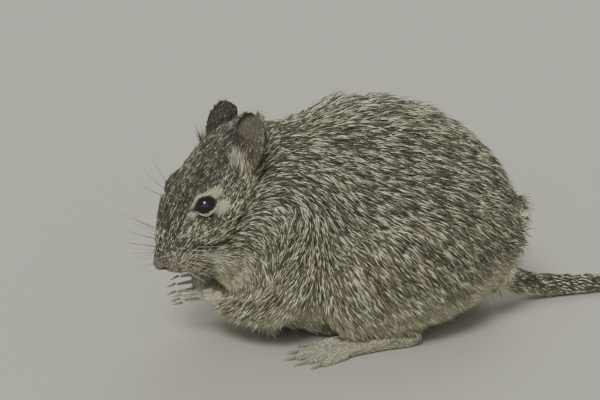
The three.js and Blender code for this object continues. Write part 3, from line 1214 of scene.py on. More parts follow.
def marking_weights(surface: Surface, member: np.ndarray) -> np.ndarray:
    """Work out how pale, dark and warm the coat is at each vertex.

    Args:
        surface: the skin.
        member: softened membership of each zone, one column each.

    Returns:
        Pale, dark and warm weights, one column each.
    """
    spots = Spots(surface.places, surface.normals(), member)
    weights = member @ zone_values("tint")
    for marking in MARKINGS:
        added = marking.tints(spots)
        for column, key in enumerate(("pale", "dark", "warm")):
            weights[:, column] += added.get(key, 0.0)
    return np.clip(weights, 0.0, 1.0)


@dataclass(frozen=True)
class Pelt:
    """Form and markings of the skin, as the coat needs them, with one row to a vertex.

    Attributes:
        surface: the skin.
        member: membership of each zone, one column each.
        ear_root: 1 at the roots of the ears and 0 away from them.
        marks: pale, dark and warm weights.
    """

    surface: Surface
    member: np.ndarray
    ear_root: np.ndarray
    marks: np.ndarray


class Skin:
    """One skin over all nodes of flesh, inside them by the depth of the coat."""

    VOXEL = 0.52 * MM
    BRIDGE = 0.28 * MM
    FINGER_SLIM = 0.12 * MM
    PALM_START = 0.5
    PALM_RISE = 4.0

    FACES = 148750
    HIDDEN = ("trunk", "neck", "hind_leg", "foreleg")
    HIDDEN_FACTOR = 3.0
    FINE_EYE = 1.45 * EYE_RADIUS
    FINE_NOSE = 6.5 * MM

    ROUND_BLEND = 6
    SPREAD_ROUNDS = 8
    WIDE_ROUNDS = 90
    WIDE_SHARE: Span = (0.75, 1.0)
    EAR_ROOT: Span = (0.01, 0.10)
    EAR_NOTCH = 1.0 * MM

    FILL_PASSES = 3
    FILL_ROUNDS = 30
    FILL_SHARE: Span = (0.80, 1.0)
    FILL_BEHIND: Span = (34.0, 26.0)

    NOSTRIL_STRETCH = np.array([1.0, 1.0, 1.3])
    NOSTRIL_SIZE: Span = (1.1, 0.3)
    NOSTRIL_DEPTH = 0.8
    CLEFT_SIDE: Span = (0.9, 0.1)
    CLEFT_UP: Span = (-1.0, -2.2)
    CLEFT_BACK: Span = (9.0, 6.0)
    CLEFT_DEPTH = 0.5

    def __init__(self, zone_map: ZoneMap) -> None:
        self.zone_map = zone_map

    def grown_copy(self, name: str) -> bpy.types.Mesh:
        """Return a copy of a node, grown to meet its neighbours, or slimmed at the fingers.

        Args:
            name: name of the node.

        Returns:
            The copy.
        """
        work = merged_copy(name)
        work.normal_update()
        front, back = (corner[1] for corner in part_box(name))
        for vertex in work.verts:
            grow = self.BRIDGE
            if name.startswith("forepaw"):
                share = (vertex.co.y - front) / (back - front)
                palm = float(np.clip((share - self.PALM_START) * self.PALM_RISE, 0.0, 1.0))
                grow = grow * palm - self.FINGER_SLIM
            vertex.co += vertex.normal * grow
        return written(work, bpy.data.meshes.new("part_copy"))

    def gather(self) -> bpy.types.Object:
        """Join copies of the flesh and eyes, and fill the throat."""
        joined = bmesh.new()
        for name in FLESH + ("eye_left", "eye_right"):
            copy = self.grown_copy(name)
            joined.from_mesh(copy)
            bpy.data.meshes.remove(copy)
        for *place, radius in THROAT_FILLS:
            centre = Vector(HEAD.outward(np.array(place)))
            bmesh.ops.create_icosphere(
                joined, subdivisions=3, radius=radius * MM, matrix=Matrix.Translation(centre)
            )
        return add_object("flesh", written(joined, bpy.data.meshes.new("flesh")))

    def build(self) -> tuple[bpy.types.Object, Pelt]:
        """Build the skin with its folds, lids and attributes.

        Returns:
            The finished skin, and its form and markings for the coat.
        """
        source = self.gather()
        remesh = source.modifiers.new("close", "REMESH")
        remesh.mode = "VOXEL"
        remesh.voxel_size = self.VOXEL
        source.data = self.triangulated(evaluated(source))
        self.thin_out(source, self.smoothed(source.data))
        mesh = self.refine(evaluated(source))
        bpy.data.objects.remove(source)
        pelt = self.shape(mesh)
        return self.piece(pelt), pelt

    def triangulated(self, mesh: bpy.types.Mesh) -> bpy.types.Mesh:
        """Cut every face of a mesh into triangles, and return the mesh.

        Args:
            mesh: closed mesh of the coat's outline.

        Returns:
            The same mesh.
        """
        work = bmesh.new()
        work.from_mesh(mesh)
        bmesh.ops.triangulate(work, faces=work.faces)
        return written(work, mesh)

    def smoothed(self, mesh: bpy.types.Mesh) -> np.ndarray:
        """Smooth each zone of a mesh for its own number of rounds.

        Args:
            mesh: closed triangle mesh of the coat's outline.

        Returns:
            Zone number of each vertex.
        """
        surface = Surface(*mesh_arrays(mesh))
        LOG.info("skin remeshed to %d triangles", len(surface.faces))
        zones = self.zone_map.lookup(surface.places)
        rounds = zone_values("smooth")[zones]
        surface.relax(np.rint(surface.soften(rounds[:, None], self.ROUND_BLEND)[:, 0]))
        write_places(mesh, surface.places)
        return zones

    def thin_out(self, source: bpy.types.Object, zones: np.ndarray) -> None:
        """Add the modifier that thins the skin most where the long coat hides it.

        Args:
            source: object of the skin.
            zones: zone number of each vertex.
        """
        hidden = np.isin(zones, [ZONE_NAMES.index(name) for name in self.HIDDEN])
        group = source.vertex_groups.new(name="hidden")
        group.add(np.flatnonzero(hidden).tolist(), 1.0, "REPLACE")
        thin = source.modifiers.new("thin", "DECIMATE")
        thin.ratio = min(1.0, self.FACES / len(source.data.polygons))
        thin.vertex_group = "hidden"
        thin.vertex_group_factor = self.HIDDEN_FACTOR

    def refine(self, mesh: bpy.types.Mesh) -> bpy.types.Mesh:
        """Cut the faces near the eyes and the nose finer, and return the mesh.

        Args:
            mesh: thinned mesh of the coat's outline.

        Returns:
            The same mesh.
        """
        work = bmesh.new()
        work.from_mesh(mesh)
        centres = [(Vector(socket.centre), self.FINE_EYE) for socket in SOCKETS]
        centres.append((Vector(HEAD.origin), self.FINE_NOSE))
        near = set()
        for edge in work.edges:
            middle = (edge.verts[0].co + edge.verts[1].co) / 2
            if any((middle - centre).length < reach for centre, reach in centres):
                near.add(edge)
        bmesh.ops.subdivide_edges(work, edges=list(near), cuts=1, use_grid_fill=True)
        bmesh.ops.triangulate(work, faces=work.faces)
        return written(work, mesh)

    def shape(self, mesh: bpy.types.Mesh) -> Pelt:
        """Draw the skin in under the coat, form its details and mark it.

        Args:
            mesh: closed triangle mesh of the coat's outline.

        Returns:
            Form and markings of the skin.
        """
        surface = Surface(*mesh_arrays(mesh))
        zones = self.zone_map.lookup(surface.places)
        member = np.zeros((len(zones), len(ZONE_NAMES)))
        member[np.arange(len(zones)), zones] = 1.0
        ear = share_of(member, "ear")[:, None]
        ear_root = ramp(surface.soften(ear, self.WIDE_ROUNDS)[:, 0], *self.EAR_ROOT)
        member = self.blend_zones(surface, member)
        depth = member @ zone_values("depth") * MM
        depth += self.EAR_NOTCH * ear_root * share_of(member, "head")
        surface.places = surface.places - surface.normals() * (depth + self.BRIDGE)[:, None]
        self.fill_folds(surface, member, ear_root)
        for socket in SOCKETS:
            self.form_lids(surface, socket)
        self.form_nose(surface)
        return Pelt(surface, member, ear_root, marking_weights(surface, member))

    def blend_zones(self, surface: Surface, member: np.ndarray) -> np.ndarray:
        """Soften the borders of the zones, widely where long coat meets long coat.

        Args:
            surface: the skin.
            member: 1 for the zone of each vertex, one column each.

        Returns:
            Membership of each zone, which adds up to 1.
        """
        near = surface.soften(member, self.SPREAD_ROUNDS)
        wide = surface.soften(member, self.WIDE_ROUNDS)
        share = ramp(share_of(near, *FURRED), *self.WIDE_SHARE)[:, None]
        mixed = near + (wide - near) * share
        return mixed / mixed.sum(axis=1, keepdims=True)

    def fill_folds(self, surface: Surface, member: np.ndarray, ear_root: np.ndarray) -> None:
        """Raise the hollows between head, neck, trunk and limbs, where the coat runs across.

        Args:
            surface: the skin.
            member: membership of each zone.
            ear_root: 1 at the roots of the ears, which stay as they are.
        """
        back = HEAD.inward(surface.places)[:, 1]
        face = share_of(member, "head") * ramp(back, *self.FILL_BEHIND)
        mask = ramp(share_of(member, *FURRED), *self.FILL_SHARE) * (1.0 - face)
        mask = mask * (1.0 - ear_root)
        for _ in range(self.FILL_PASSES):
            smooth = surface.soften(surface.places, self.FILL_ROUNDS)
            normals = surface.normals()
            rise = np.clip(np.sum((smooth - surface.places) * normals, axis=1), 0.0, None)
            surface.places = surface.places + normals * (rise * mask)[:, None]

    def form_lids(self, surface: Surface, socket: EyeSocket) -> None:
        """Sink the skin behind one eyeball and raise the lids round it.

        Args:
            surface: the skin.
            socket: place and opening of the eye.
        """
        opening = socket.opening(surface.places)
        _, _, distance = socket.angles(surface.places)
        away = unit(surface.places - socket.centre)
        inside = ramp(opening, *reversed(LIDS.edge))
        lid = ramp(opening, *LIDS.edge) * ramp(opening, *LIDS.fade)
        lid_radius = EYE_RADIUS + LIDS.thickness * ramp(opening, *LIDS.swell)
        target = distance + (lid_radius - distance) * lid
        target = target + (EYE_RADIUS - LIDS.sunk - target) * inside
        moved = socket.centre + away * target[:, None]
        close = by_radius(distance, *LIDS.reach)
        surface.places += (moved - surface.places) * close[:, None]

    def form_nose(self, surface: Surface) -> None:
        """Press in the nostrils and the split of the lip.

        Args:
            surface: the skin.
        """
        local = HEAD.inward(surface.places)
        normals = surface.normals()
        for side in (1, -1):
            off = (local - NOSTRIL * np.array([side, 1.0, 1.0])) * self.NOSTRIL_STRETCH
            hollow = ramp(np.linalg.norm(off, axis=1), *self.NOSTRIL_SIZE)
            surface.places -= normals * (hollow * self.NOSTRIL_DEPTH * MM)[:, None]
        side, back, up = np.abs(local[:, 0]), local[:, 1], local[:, 2]
        cleft = ramp(side, *self.CLEFT_SIDE) * ramp(up, *self.CLEFT_UP) * ramp(back, *self.CLEFT_BACK)
        surface.places -= normals * (cleft * self.CLEFT_DEPTH * MM)[:, None]

    def piece(self, pelt: Pelt) -> bpy.types.Object:
        """Make the skin an object with its attributes.

        Args:
            pelt: form and markings of the skin.

        Returns:
            The finished skin.
        """
        mesh = triangle_mesh("skin", pelt.surface.places, pelt.surface.faces)
        strand = np.zeros_like(pelt.marks)
        strand[:, 2] = pelt.member @ zone_values("bare")
        write_vectors(mesh, "markings", pelt.marks)
        write_vectors(mesh, "strand", strand)
        mesh.materials.append(SkinFinish().make())
        return add_object("skin", mesh)


class Roots:
    """Roots of the locks, scattered evenly over the skin.

    Args:
        surface: the skin.
        density: locks to the square metre at each vertex.
        rng: source of the scatter.
    """

    def __init__(self, surface: Surface, density: np.ndarray, rng: np.random.Generator) -> None:
        total = np.cumsum(surface.areas() * density[surface.faces].mean(axis=1))
        self.count = int(total[-1])
        steps = (np.arange(self.count) + rng.random(self.count)) / self.count * total[-1]
        chosen = np.minimum(np.searchsorted(total, steps), len(surface.faces) - 1)
        self.weights = rng.dirichlet((1.0, 1.0, 1.0), self.count)
        self.corners = surface.faces[chosen]
        self.place = self.spread(surface.places)
        self.normal = unit(self.spread(surface.normals()))

    def spread(self, values: np.ndarray) -> np.ndarray:
        """Interpolate values of the vertices at the roots."""
        return np.einsum("nk,nkj->nj", self.weights, values[self.corners])


@dataclass(frozen=True)
class Locks:
    """Locks of hair, with one row of each array to a lock.

    Attributes:
        place: root.
        normal: outward normal of the skin there.
        direction: direction of the inner half.
        length: length in metres.
        width: width at the middle in metres.
        member: membership of each zone.
        marks: pale, dark and warm weights.
        tone: how light the lock is, from 0 to 1.
    """

    place: np.ndarray
    normal: np.ndarray
    direction: np.ndarray
    length: np.ndarray
    width: np.ndarray
    member: np.ndarray
    marks: np.ndarray
    tone: np.ndarray

    def pick(self, chosen: np.ndarray) -> "Locks":
        """Return only the chosen locks."""
        return Locks(*(getattr(self, field.name)[chosen] for field in fields(self)))


@dataclass(frozen=True)
class LockShape:
    """Form of one lock: a flattened three-sided spike with a bend in its middle.

    Attributes:
        flatness: thickness against width.
        waist: share of the length before the bend.
        sag: how far the outer half leans back to the skin.
        droop: how far the outer half leans to the floor.
        buried: share of the length that stands under the skin.
        root_half: half width at the root, against the width.
        waist_half: half width at the bend, against the width.
        floor_gap: least height above the floor.
        patch: width of one lock's patch in the map of its piece.
    """

    flatness: float = 0.55
    waist: float = 0.5
    sag: float = 0.22
    droop: float = 0.10
    buried: float = 0.10
    root_half: float = 0.35
    waist_half: float = 0.5
    floor_gap: float = 0.15 * MM
    patch: float = 0.003

    ALONG = (0.0, 0.0, 0.0, 0.5, 0.5, 0.5, 1.0)
    MAP = ((-1.0, -1.0), (0.0, -0.7), (1.0, -1.0), (-0.8, 0.0), (0.0, 0.25), (0.8, 0.0), (0.0, 1.0))

    def vertices(self, locks: Locks) -> np.ndarray:
        """Return the seven vertices of each lock: three at the root, three at the bend, a tip.

        Args:
            locks: locks of one piece.

        Returns:
            Places of the vertices, seven rows to a lock.
        """
        place, normal, heading = locks.place, locks.normal, locks.direction
        length, width = locks.length[:, None], locks.width[:, None]
        side = unit(np.cross(heading, normal))
        over = np.cross(side, heading)
        middle = place + heading * length * self.waist
        bent = unit(heading - normal * self.sag - np.array([0.0, 0.0, self.droop]))
        turns = np.radians([90.0, 210.0, 330.0])
        ring = [side * math.cos(t) + over * math.sin(t) * self.flatness for t in turns]
        rows = [place - heading * self.buried * length + r * width * self.root_half for r in ring]
        rows += [middle + r * width * self.waist_half for r in ring]
        rows.append(middle + bent * length * (1.0 - self.waist))
        vertices = np.stack(rows, axis=1).reshape(-1, 3)
        vertices[:, 2] = np.maximum(vertices[:, 2], self.floor_gap)
        return vertices

    def faces(self, count: int) -> np.ndarray:
        """Return the triangles of a number of locks, ten to a lock.

        Args:
            count: number of locks.

        Returns:
            Vertex numbers of each triangle.
        """
        triangles = [(2, 1, 0)]
        for k in range(3):
            n = (k + 1) % 3
            triangles += [(k, n, 3 + n), (k, 3 + n, 3 + k), (3 + k, 3 + n, 6)]
        first = np.arange(count)[:, None, None] * len(self.ALONG)
        return (first + np.array(triangles)).reshape(-1, 3)

    def chart(self, roots: np.ndarray) -> np.ndarray:
        """Return the map place of each vertex, from the map places of the roots."""
        return (roots[:, None, :] + np.array(self.MAP) * (self.patch / 2)).reshape(-1, 2)


class Coat:
    """Locks of hair over the whole skin, in one piece for each region.

    Args:
        pelt: form and markings of the skin.
        finish: material of the hair.
    """

    MOST_LOCKS = 19500
    QUICK_SHARE = 0.35
    CLUMP = 5.5 * MM
    TUFT = 2.1 * MM

    FLOW_ROUNDS = 24
    HEAD_FLOW = np.array([0.0, 1.0, 0.12])
    CHEST_FLOW = np.array([0.1, 0.1, -1.0])
    CHEST_FRONT: Span = (-0.062, -0.084)
    CHEST_FACING: Span = (0.1, -0.5)

    OPEN_EYE: Span = (1.12, 1.02)
    NOSE_SHARE = 0.55
    NOSE_END: Span = (1.0, 16.0)
    LID_SHARE = 0.42
    LID_END: Span = (1.3, 2.6)
    HOLLOW_LOSS = 0.45
    EAR_ROOT_LOSS = 0.50
    STRAY = 0.17
    CLUMP_STRAY = 0.16
    LIFT_SPREAD = 0.35
    LIFT_LIMITS: Span = (0.03, 1.0)
    LENGTHS: Span = (0.70, 1.20)
    WIDTHS: Span = (0.75, 1.20)
    FADES: Span = (0.65, 1.0)

    EAR_TUFT = np.array([13.5, 41.5, 6.0])
    EAR_TUFT_STRETCH = np.array([0.6, 1.0, 0.8])
    EAR_TUFT_SIZE: Span = (4.0, 2.2)
    EAR_TUFT_AIM = np.array([0.0, 0.45, 0.9])
    EAR_TUFT_STRAY = 0.18
    EAR_TUFT_LENGTH = 5.0
    EAR_TUFT_LENGTHS: Span = (0.5, 1.0)
    WHITE_ABOVE = 0.6

    CHART_GAP = 0.03

    def __init__(self, pelt: Pelt, finish: bpy.types.Material) -> None:
        self.pelt = pelt
        self.surface = pelt.surface
        self.finish = finish
        self.rng = np.random.default_rng(SEED + 1)
        self.shape = LockShape()
        self.flow = self.flow_field()

    def flow_field(self) -> np.ndarray:
        """Return for each vertex of the skin the direction in which the coat lies."""
        member, places = self.pelt.member, self.surface.places
        normals = self.surface.normals()

        def flattened(vectors: np.ndarray) -> np.ndarray:
            """Lay directions flat on the skin."""
            return unit(vectors - normals * np.sum(vectors * normals, axis=1, keepdims=True))

        flow = member @ zone_values("flow")
        flow = flow + (HEAD.heading(self.HEAD_FLOW) - flow) * share_of(member, "head")[:, None]
        chest = ramp(places[:, 1], *self.CHEST_FRONT) * ramp(normals[:, 1], *self.CHEST_FACING)
        chest *= share_of(member, "trunk", "neck")
        flow = flow + (self.CHEST_FLOW - flow) * chest[:, None]
        for _ in range(self.FLOW_ROUNDS):
            flow = self.surface.soften(flattened(flow), 1)
        return flattened(flow)

    def density(self) -> np.ndarray:
        """Return locks to the square metre at each vertex, none on the eyes and fewer in the ears."""
        places, normals = self.surface.places, self.surface.normals()
        density = self.pelt.member @ zone_values("density") / MM**2
        for socket in SOCKETS:
            distance = socket.angles(places)[2]
            open_eye = ramp(socket.opening(places), *self.OPEN_EYE)
            density = density * (1.0 - open_eye * by_radius(distance, 1.6, 1.3))
        for leaf in EARS:
            _, hollow = leaf.parts(places, normals)
            density = density * (1.0 - self.HOLLOW_LOSS * hollow * share_of(self.pelt.member, "ear"))
        return density * 1.0

    def face_share(self, roots: Roots, member: np.ndarray) -> np.ndarray:
        """Return how short the coat is on the face and at the roots of the ears.

        Args:
            roots: roots of the locks.
            member: membership of each zone there.

        Returns:
            Share of the full length, smallest at the lids and the nose.
        """
        crown = ramp(HEAD.inward(roots.place)[:, 1], *self.NOSE_END)
        share = self.NOSE_SHARE + (1.0 - self.NOSE_SHARE) * crown
        for socket in SOCKETS:
            away = np.linalg.norm(roots.place - socket.centre, axis=1)
            clear = by_radius(away, *self.LID_END)
            share = share * (self.LID_SHARE + (1.0 - self.LID_SHARE) * clear)
        on_face = np.clip(share_of(member, "head", "nose"), 0.0, 1.0)
        share = 1.0 - (1.0 - share) * on_face
        ear_root = roots.spread(self.pelt.ear_root[:, None])[:, 0]
        return share * (1.0 - self.EAR_ROOT_LOSS * (ear_root * (1.0 - share_of(member, "ear"))))

    def ear_tuft(self, places: np.ndarray) -> np.ndarray:
        """Return 1 where the long whitish hairs at the front of the ears root, and 0 elsewhere.

        Args:
            places: roots of the locks.

        Returns:
            One value for each root.
        """
        local = HEAD.inward(places)
        local[:, 0] = np.abs(local[:, 0])
        off = (local - self.EAR_TUFT) * self.EAR_TUFT_STRETCH
        return ramp(np.linalg.norm(off, axis=1), *self.EAR_TUFT_SIZE)

    def directions(self, roots: Roots, lift: np.ndarray, tuft: np.ndarray) -> np.ndarray:
        """Choose the direction of every lock.

        Args:
            roots: roots of the locks.
            lift: angle above the skin in degrees.
            tuft: 1 where a lock belongs to the tuft of an ear.

        Returns:
            Directions of length one, astray a little and alike in small clumps.
        """
        rng, count, normal = self.rng, roots.count, roots.normal
        flow = unit(roots.spread(self.flow))
        stray = self.STRAY * rng.standard_normal(count)
        stray = stray + self.CLUMP_STRAY * ripple(roots.place, self.CLUMP, 0.4)
        heading = unit(flow + np.cross(normal, flow) * stray[:, None])
        lift = np.radians(lift) * (1.0 + self.LIFT_SPREAD * rng.standard_normal(count))
        lift = lift * (1.0 + self.LIFT_SPREAD * ripple(roots.place, self.CLUMP * 1.3, 2.0))
        lift = np.clip(lift, *self.LIFT_LIMITS)[:, None]
        direction = unit(heading * np.cos(lift) + normal * np.sin(lift))
        upward = HEAD.heading(self.EAR_TUFT_AIM) + self.EAR_TUFT_STRAY * rng.standard_normal((count, 3))
        upward = unit(upward + normal * 0.35)
        return unit(direction + (upward - direction) * (tuft * 0.8)[:, None])

    def plant(self) -> Locks:
        """Choose the root of every lock and all that its form needs."""
        rng = self.rng
        roots = Roots(self.surface, self.density(), rng)
        count = roots.count
        sizes = [self.pelt.member @ zone_values(key) for key in ("length", "width", "lift")]
        length, width, lift = roots.spread(np.stack(sizes, axis=1)).T
        member = roots.spread(self.pelt.member)
        tuft = self.ear_tuft(roots.place)
        direction = self.directions(roots, lift, tuft)
        share = self.face_share(roots, member)
        length = length * MM * rng.uniform(*self.LENGTHS, count) * share
        length = length + tuft * self.EAR_TUFT_LENGTH * MM * rng.uniform(*self.EAR_TUFT_LENGTHS, count)
        width = width * MM * rng.uniform(*self.WIDTHS, count)
        width = width * (0.4 + 0.6 * share) * (1.0 - 0.35 * tuft)
        marks = roots.spread(self.pelt.marks)
        white = tuft * (rng.random(count) > self.WHITE_ABOVE)
        marks[:, 0] = np.maximum(marks[:, 0], white)
        marks[:, 1] = marks[:, 1] * (1.0 - white)
        marks = marks * rng.uniform(*self.FADES, (count, 1))
        tuft_tone = 0.5 + 0.5 * ripple(roots.place, self.TUFT, 1.1)
        tone = np.clip(0.80 * rng.random(count) + 0.20 * tuft_tone, 0.0, 1.0)
        return Locks(roots.place, roots.normal, direction, length, width, member, marks, tone)

    def region_of(self, locks: Locks) -> np.ndarray:
        """Return the name of the region that each lock belongs to.

        Args:
            locks: all locks.

        Returns:
            One name for each lock.
        """
        names = np.array(ZONE_NAMES)[locks.member.argmax(axis=1)]
        side = np.where(locks.place[:, 0] > 0, *SIDES)
        region = np.full(len(names), "coat_tail", dtype=object)
        region[np.isin(names, ("head", "lower_jaw", "nose"))] = "coat_head"
        region[names == "ear"] = "coat_ears"
        legs = ("foreleg", "forepaw", "hind_leg", "hind_foot")
        for label, zones in (("neck", ("neck",)), ("flank", ("trunk",)), ("legs", legs)):
            found = np.isin(names, zones)
            region[found] = [f"coat_{label}_{s}" for s in side[found]]
        return region

    def unwrap(self, locks: Locks) -> np.ndarray:
        """Lay the roots out on six sides of a box, in a map three wide and two high.

        Args:
            locks: locks of one piece.

        Returns:
            Map place of each root.
        """
        axis = np.abs(locks.normal).argmax(axis=1)
        positive = locks.normal[np.arange(len(axis)), axis] > 0
        low, high = locks.place.min(axis=0), locks.place.max(axis=0)
        scaled = (locks.place - low) / np.maximum(high - low, 1e-6)
        across = np.where(axis == 0, scaled[:, 1], scaled[:, 0])
        upward = np.where(axis == 2, scaled[:, 1], scaled[:, 2])
        used = 1.0 - 2.0 * self.CHART_GAP
        column = (axis + self.CHART_GAP + across * used) / 3.0
        row = (positive + self.CHART_GAP + upward * used) / 2.0
        return np.stack([column, row], axis=1)

    def build(self) -> list[bpy.types.Object]:
        """Build every piece of the coat."""
        locks = self.plant()
        region = self.region_of(locks)
        made = []
        for name in sorted(set(region)):
            members = np.flatnonzero(region == name)
            parts = -(-len(members) // self.MOST_LOCKS)
            for number in range(parts):
                label = name if parts == 1 else f"{name}_{number + 1}"
                made.append(self.piece(label, locks.pick(members[number::parts])))
        LOG.info("coat: %d locks in %d pieces", len(region), len(made))
        return made

    def piece(self, name: str, locks: Locks) -> bpy.types.Object:
        """Build one piece of the coat.

        Args:
            name: name of the piece.
            locks: its locks.

        Returns:
            The piece.
        """
        count, per_lock = len(locks.tone), len(self.shape.ALONG)
        faces = self.shape.faces(count)
        mesh = triangle_mesh(name, self.shape.vertices(locks), faces)
        along = np.tile(self.shape.ALONG, count)
        tone = np.repeat(locks.tone, per_lock)
        write_vectors(mesh, "markings", np.repeat(locks.marks, per_lock, axis=0))
        write_vectors(mesh, "strand", np.stack([along, tone, np.zeros(len(tone))], axis=1))
        chart = self.shape.chart(self.unwrap(locks))
        layer = mesh.uv_layers.new(name="OFBake")
        layer.data.foreach_set("uv", chart[faces.ravel()].astype(np.float32).ravel())
        mesh.materials.append(self.finish)
        return add_object(name, mesh)


@dataclass(frozen=True)
class Eyeball:
    """One smooth eye with a raised cornea."""

    socket: EyeSocket
    rings: int = 48
    spokes: int = 64
    cornea_rise: float = 0.035
    cornea_angle: float = math.radians(34)

    def build(self, finish: bpy.types.Material) -> bpy.types.Object:
        """Build the eye about its gaze.

        Args:
            finish: material of the eye.

        Returns:
            The eye.
        """
        work = bmesh.new()
        bmesh.ops.create_uvsphere(
            work, u_segments=self.spokes, v_segments=self.rings, radius=EYE_RADIUS
        )
        bmesh.ops.triangulate(work, faces=work.faces)
        mesh = written(work, bpy.data.meshes.new(f"eyeball_{self.socket.name}"))
        places, _ = mesh_arrays(mesh)
        off = np.arccos(np.clip(places[:, 2] / EYE_RADIUS, -1.0, 1.0))
        bulge = 1.0 + self.cornea_rise * ramp(off, self.cornea_angle, 0.0)
        axes = self.socket.axes
        if np.linalg.det(axes) < 0:
            axes = axes * np.array([[-1.0], [1.0], [1.0]])
        write_places(mesh, (places * bulge[:, None]) @ axes + self.socket.centre)
        gaze = np.zeros_like(places)
        gaze[:, 0] = off / math.radians(90)
        write_vectors(mesh, "gaze", gaze)
        mesh.shade_smooth()
        mesh.materials.append(finish)
        return add_object(mesh.name, mesh)


@dataclass(frozen=True)
class Claws:
    """Smooth claws of one pair of paws.

    Attributes:
        limb: name of the paws.
        count: claws to a paw.
        rounding: levels of subdivision.
    """

    limb: str
    count: int
    rounding: int = 2

    @property
    def nodes(self) -> tuple[str, ...]:
        """Names of the CAD nodes that these claws stand for."""
        numbers = range(1, self.count + 1)
        return tuple(f"claw_{self.limb}_{side}_{number}" for side in SIDES for number in numbers)

    def build(self, finish: bpy.types.Material) -> bpy.types.Object:
        """Round the claws off.

        Args:
            finish: material of the claws.

        Returns:
            The piece.
        """
        mesh = bpy.data.meshes.new(f"claws_{self.limb}")
        made = add_object(mesh.name, written(merged_copy(*self.nodes), mesh))
        rounded = made.modifiers.new("round", "SUBSURF")
        rounded.levels = rounded.render_levels = self.rounding
        made.data = evaluated(made)
        made.data.shade_smooth()
        made.data.materials.append(finish)
        return made


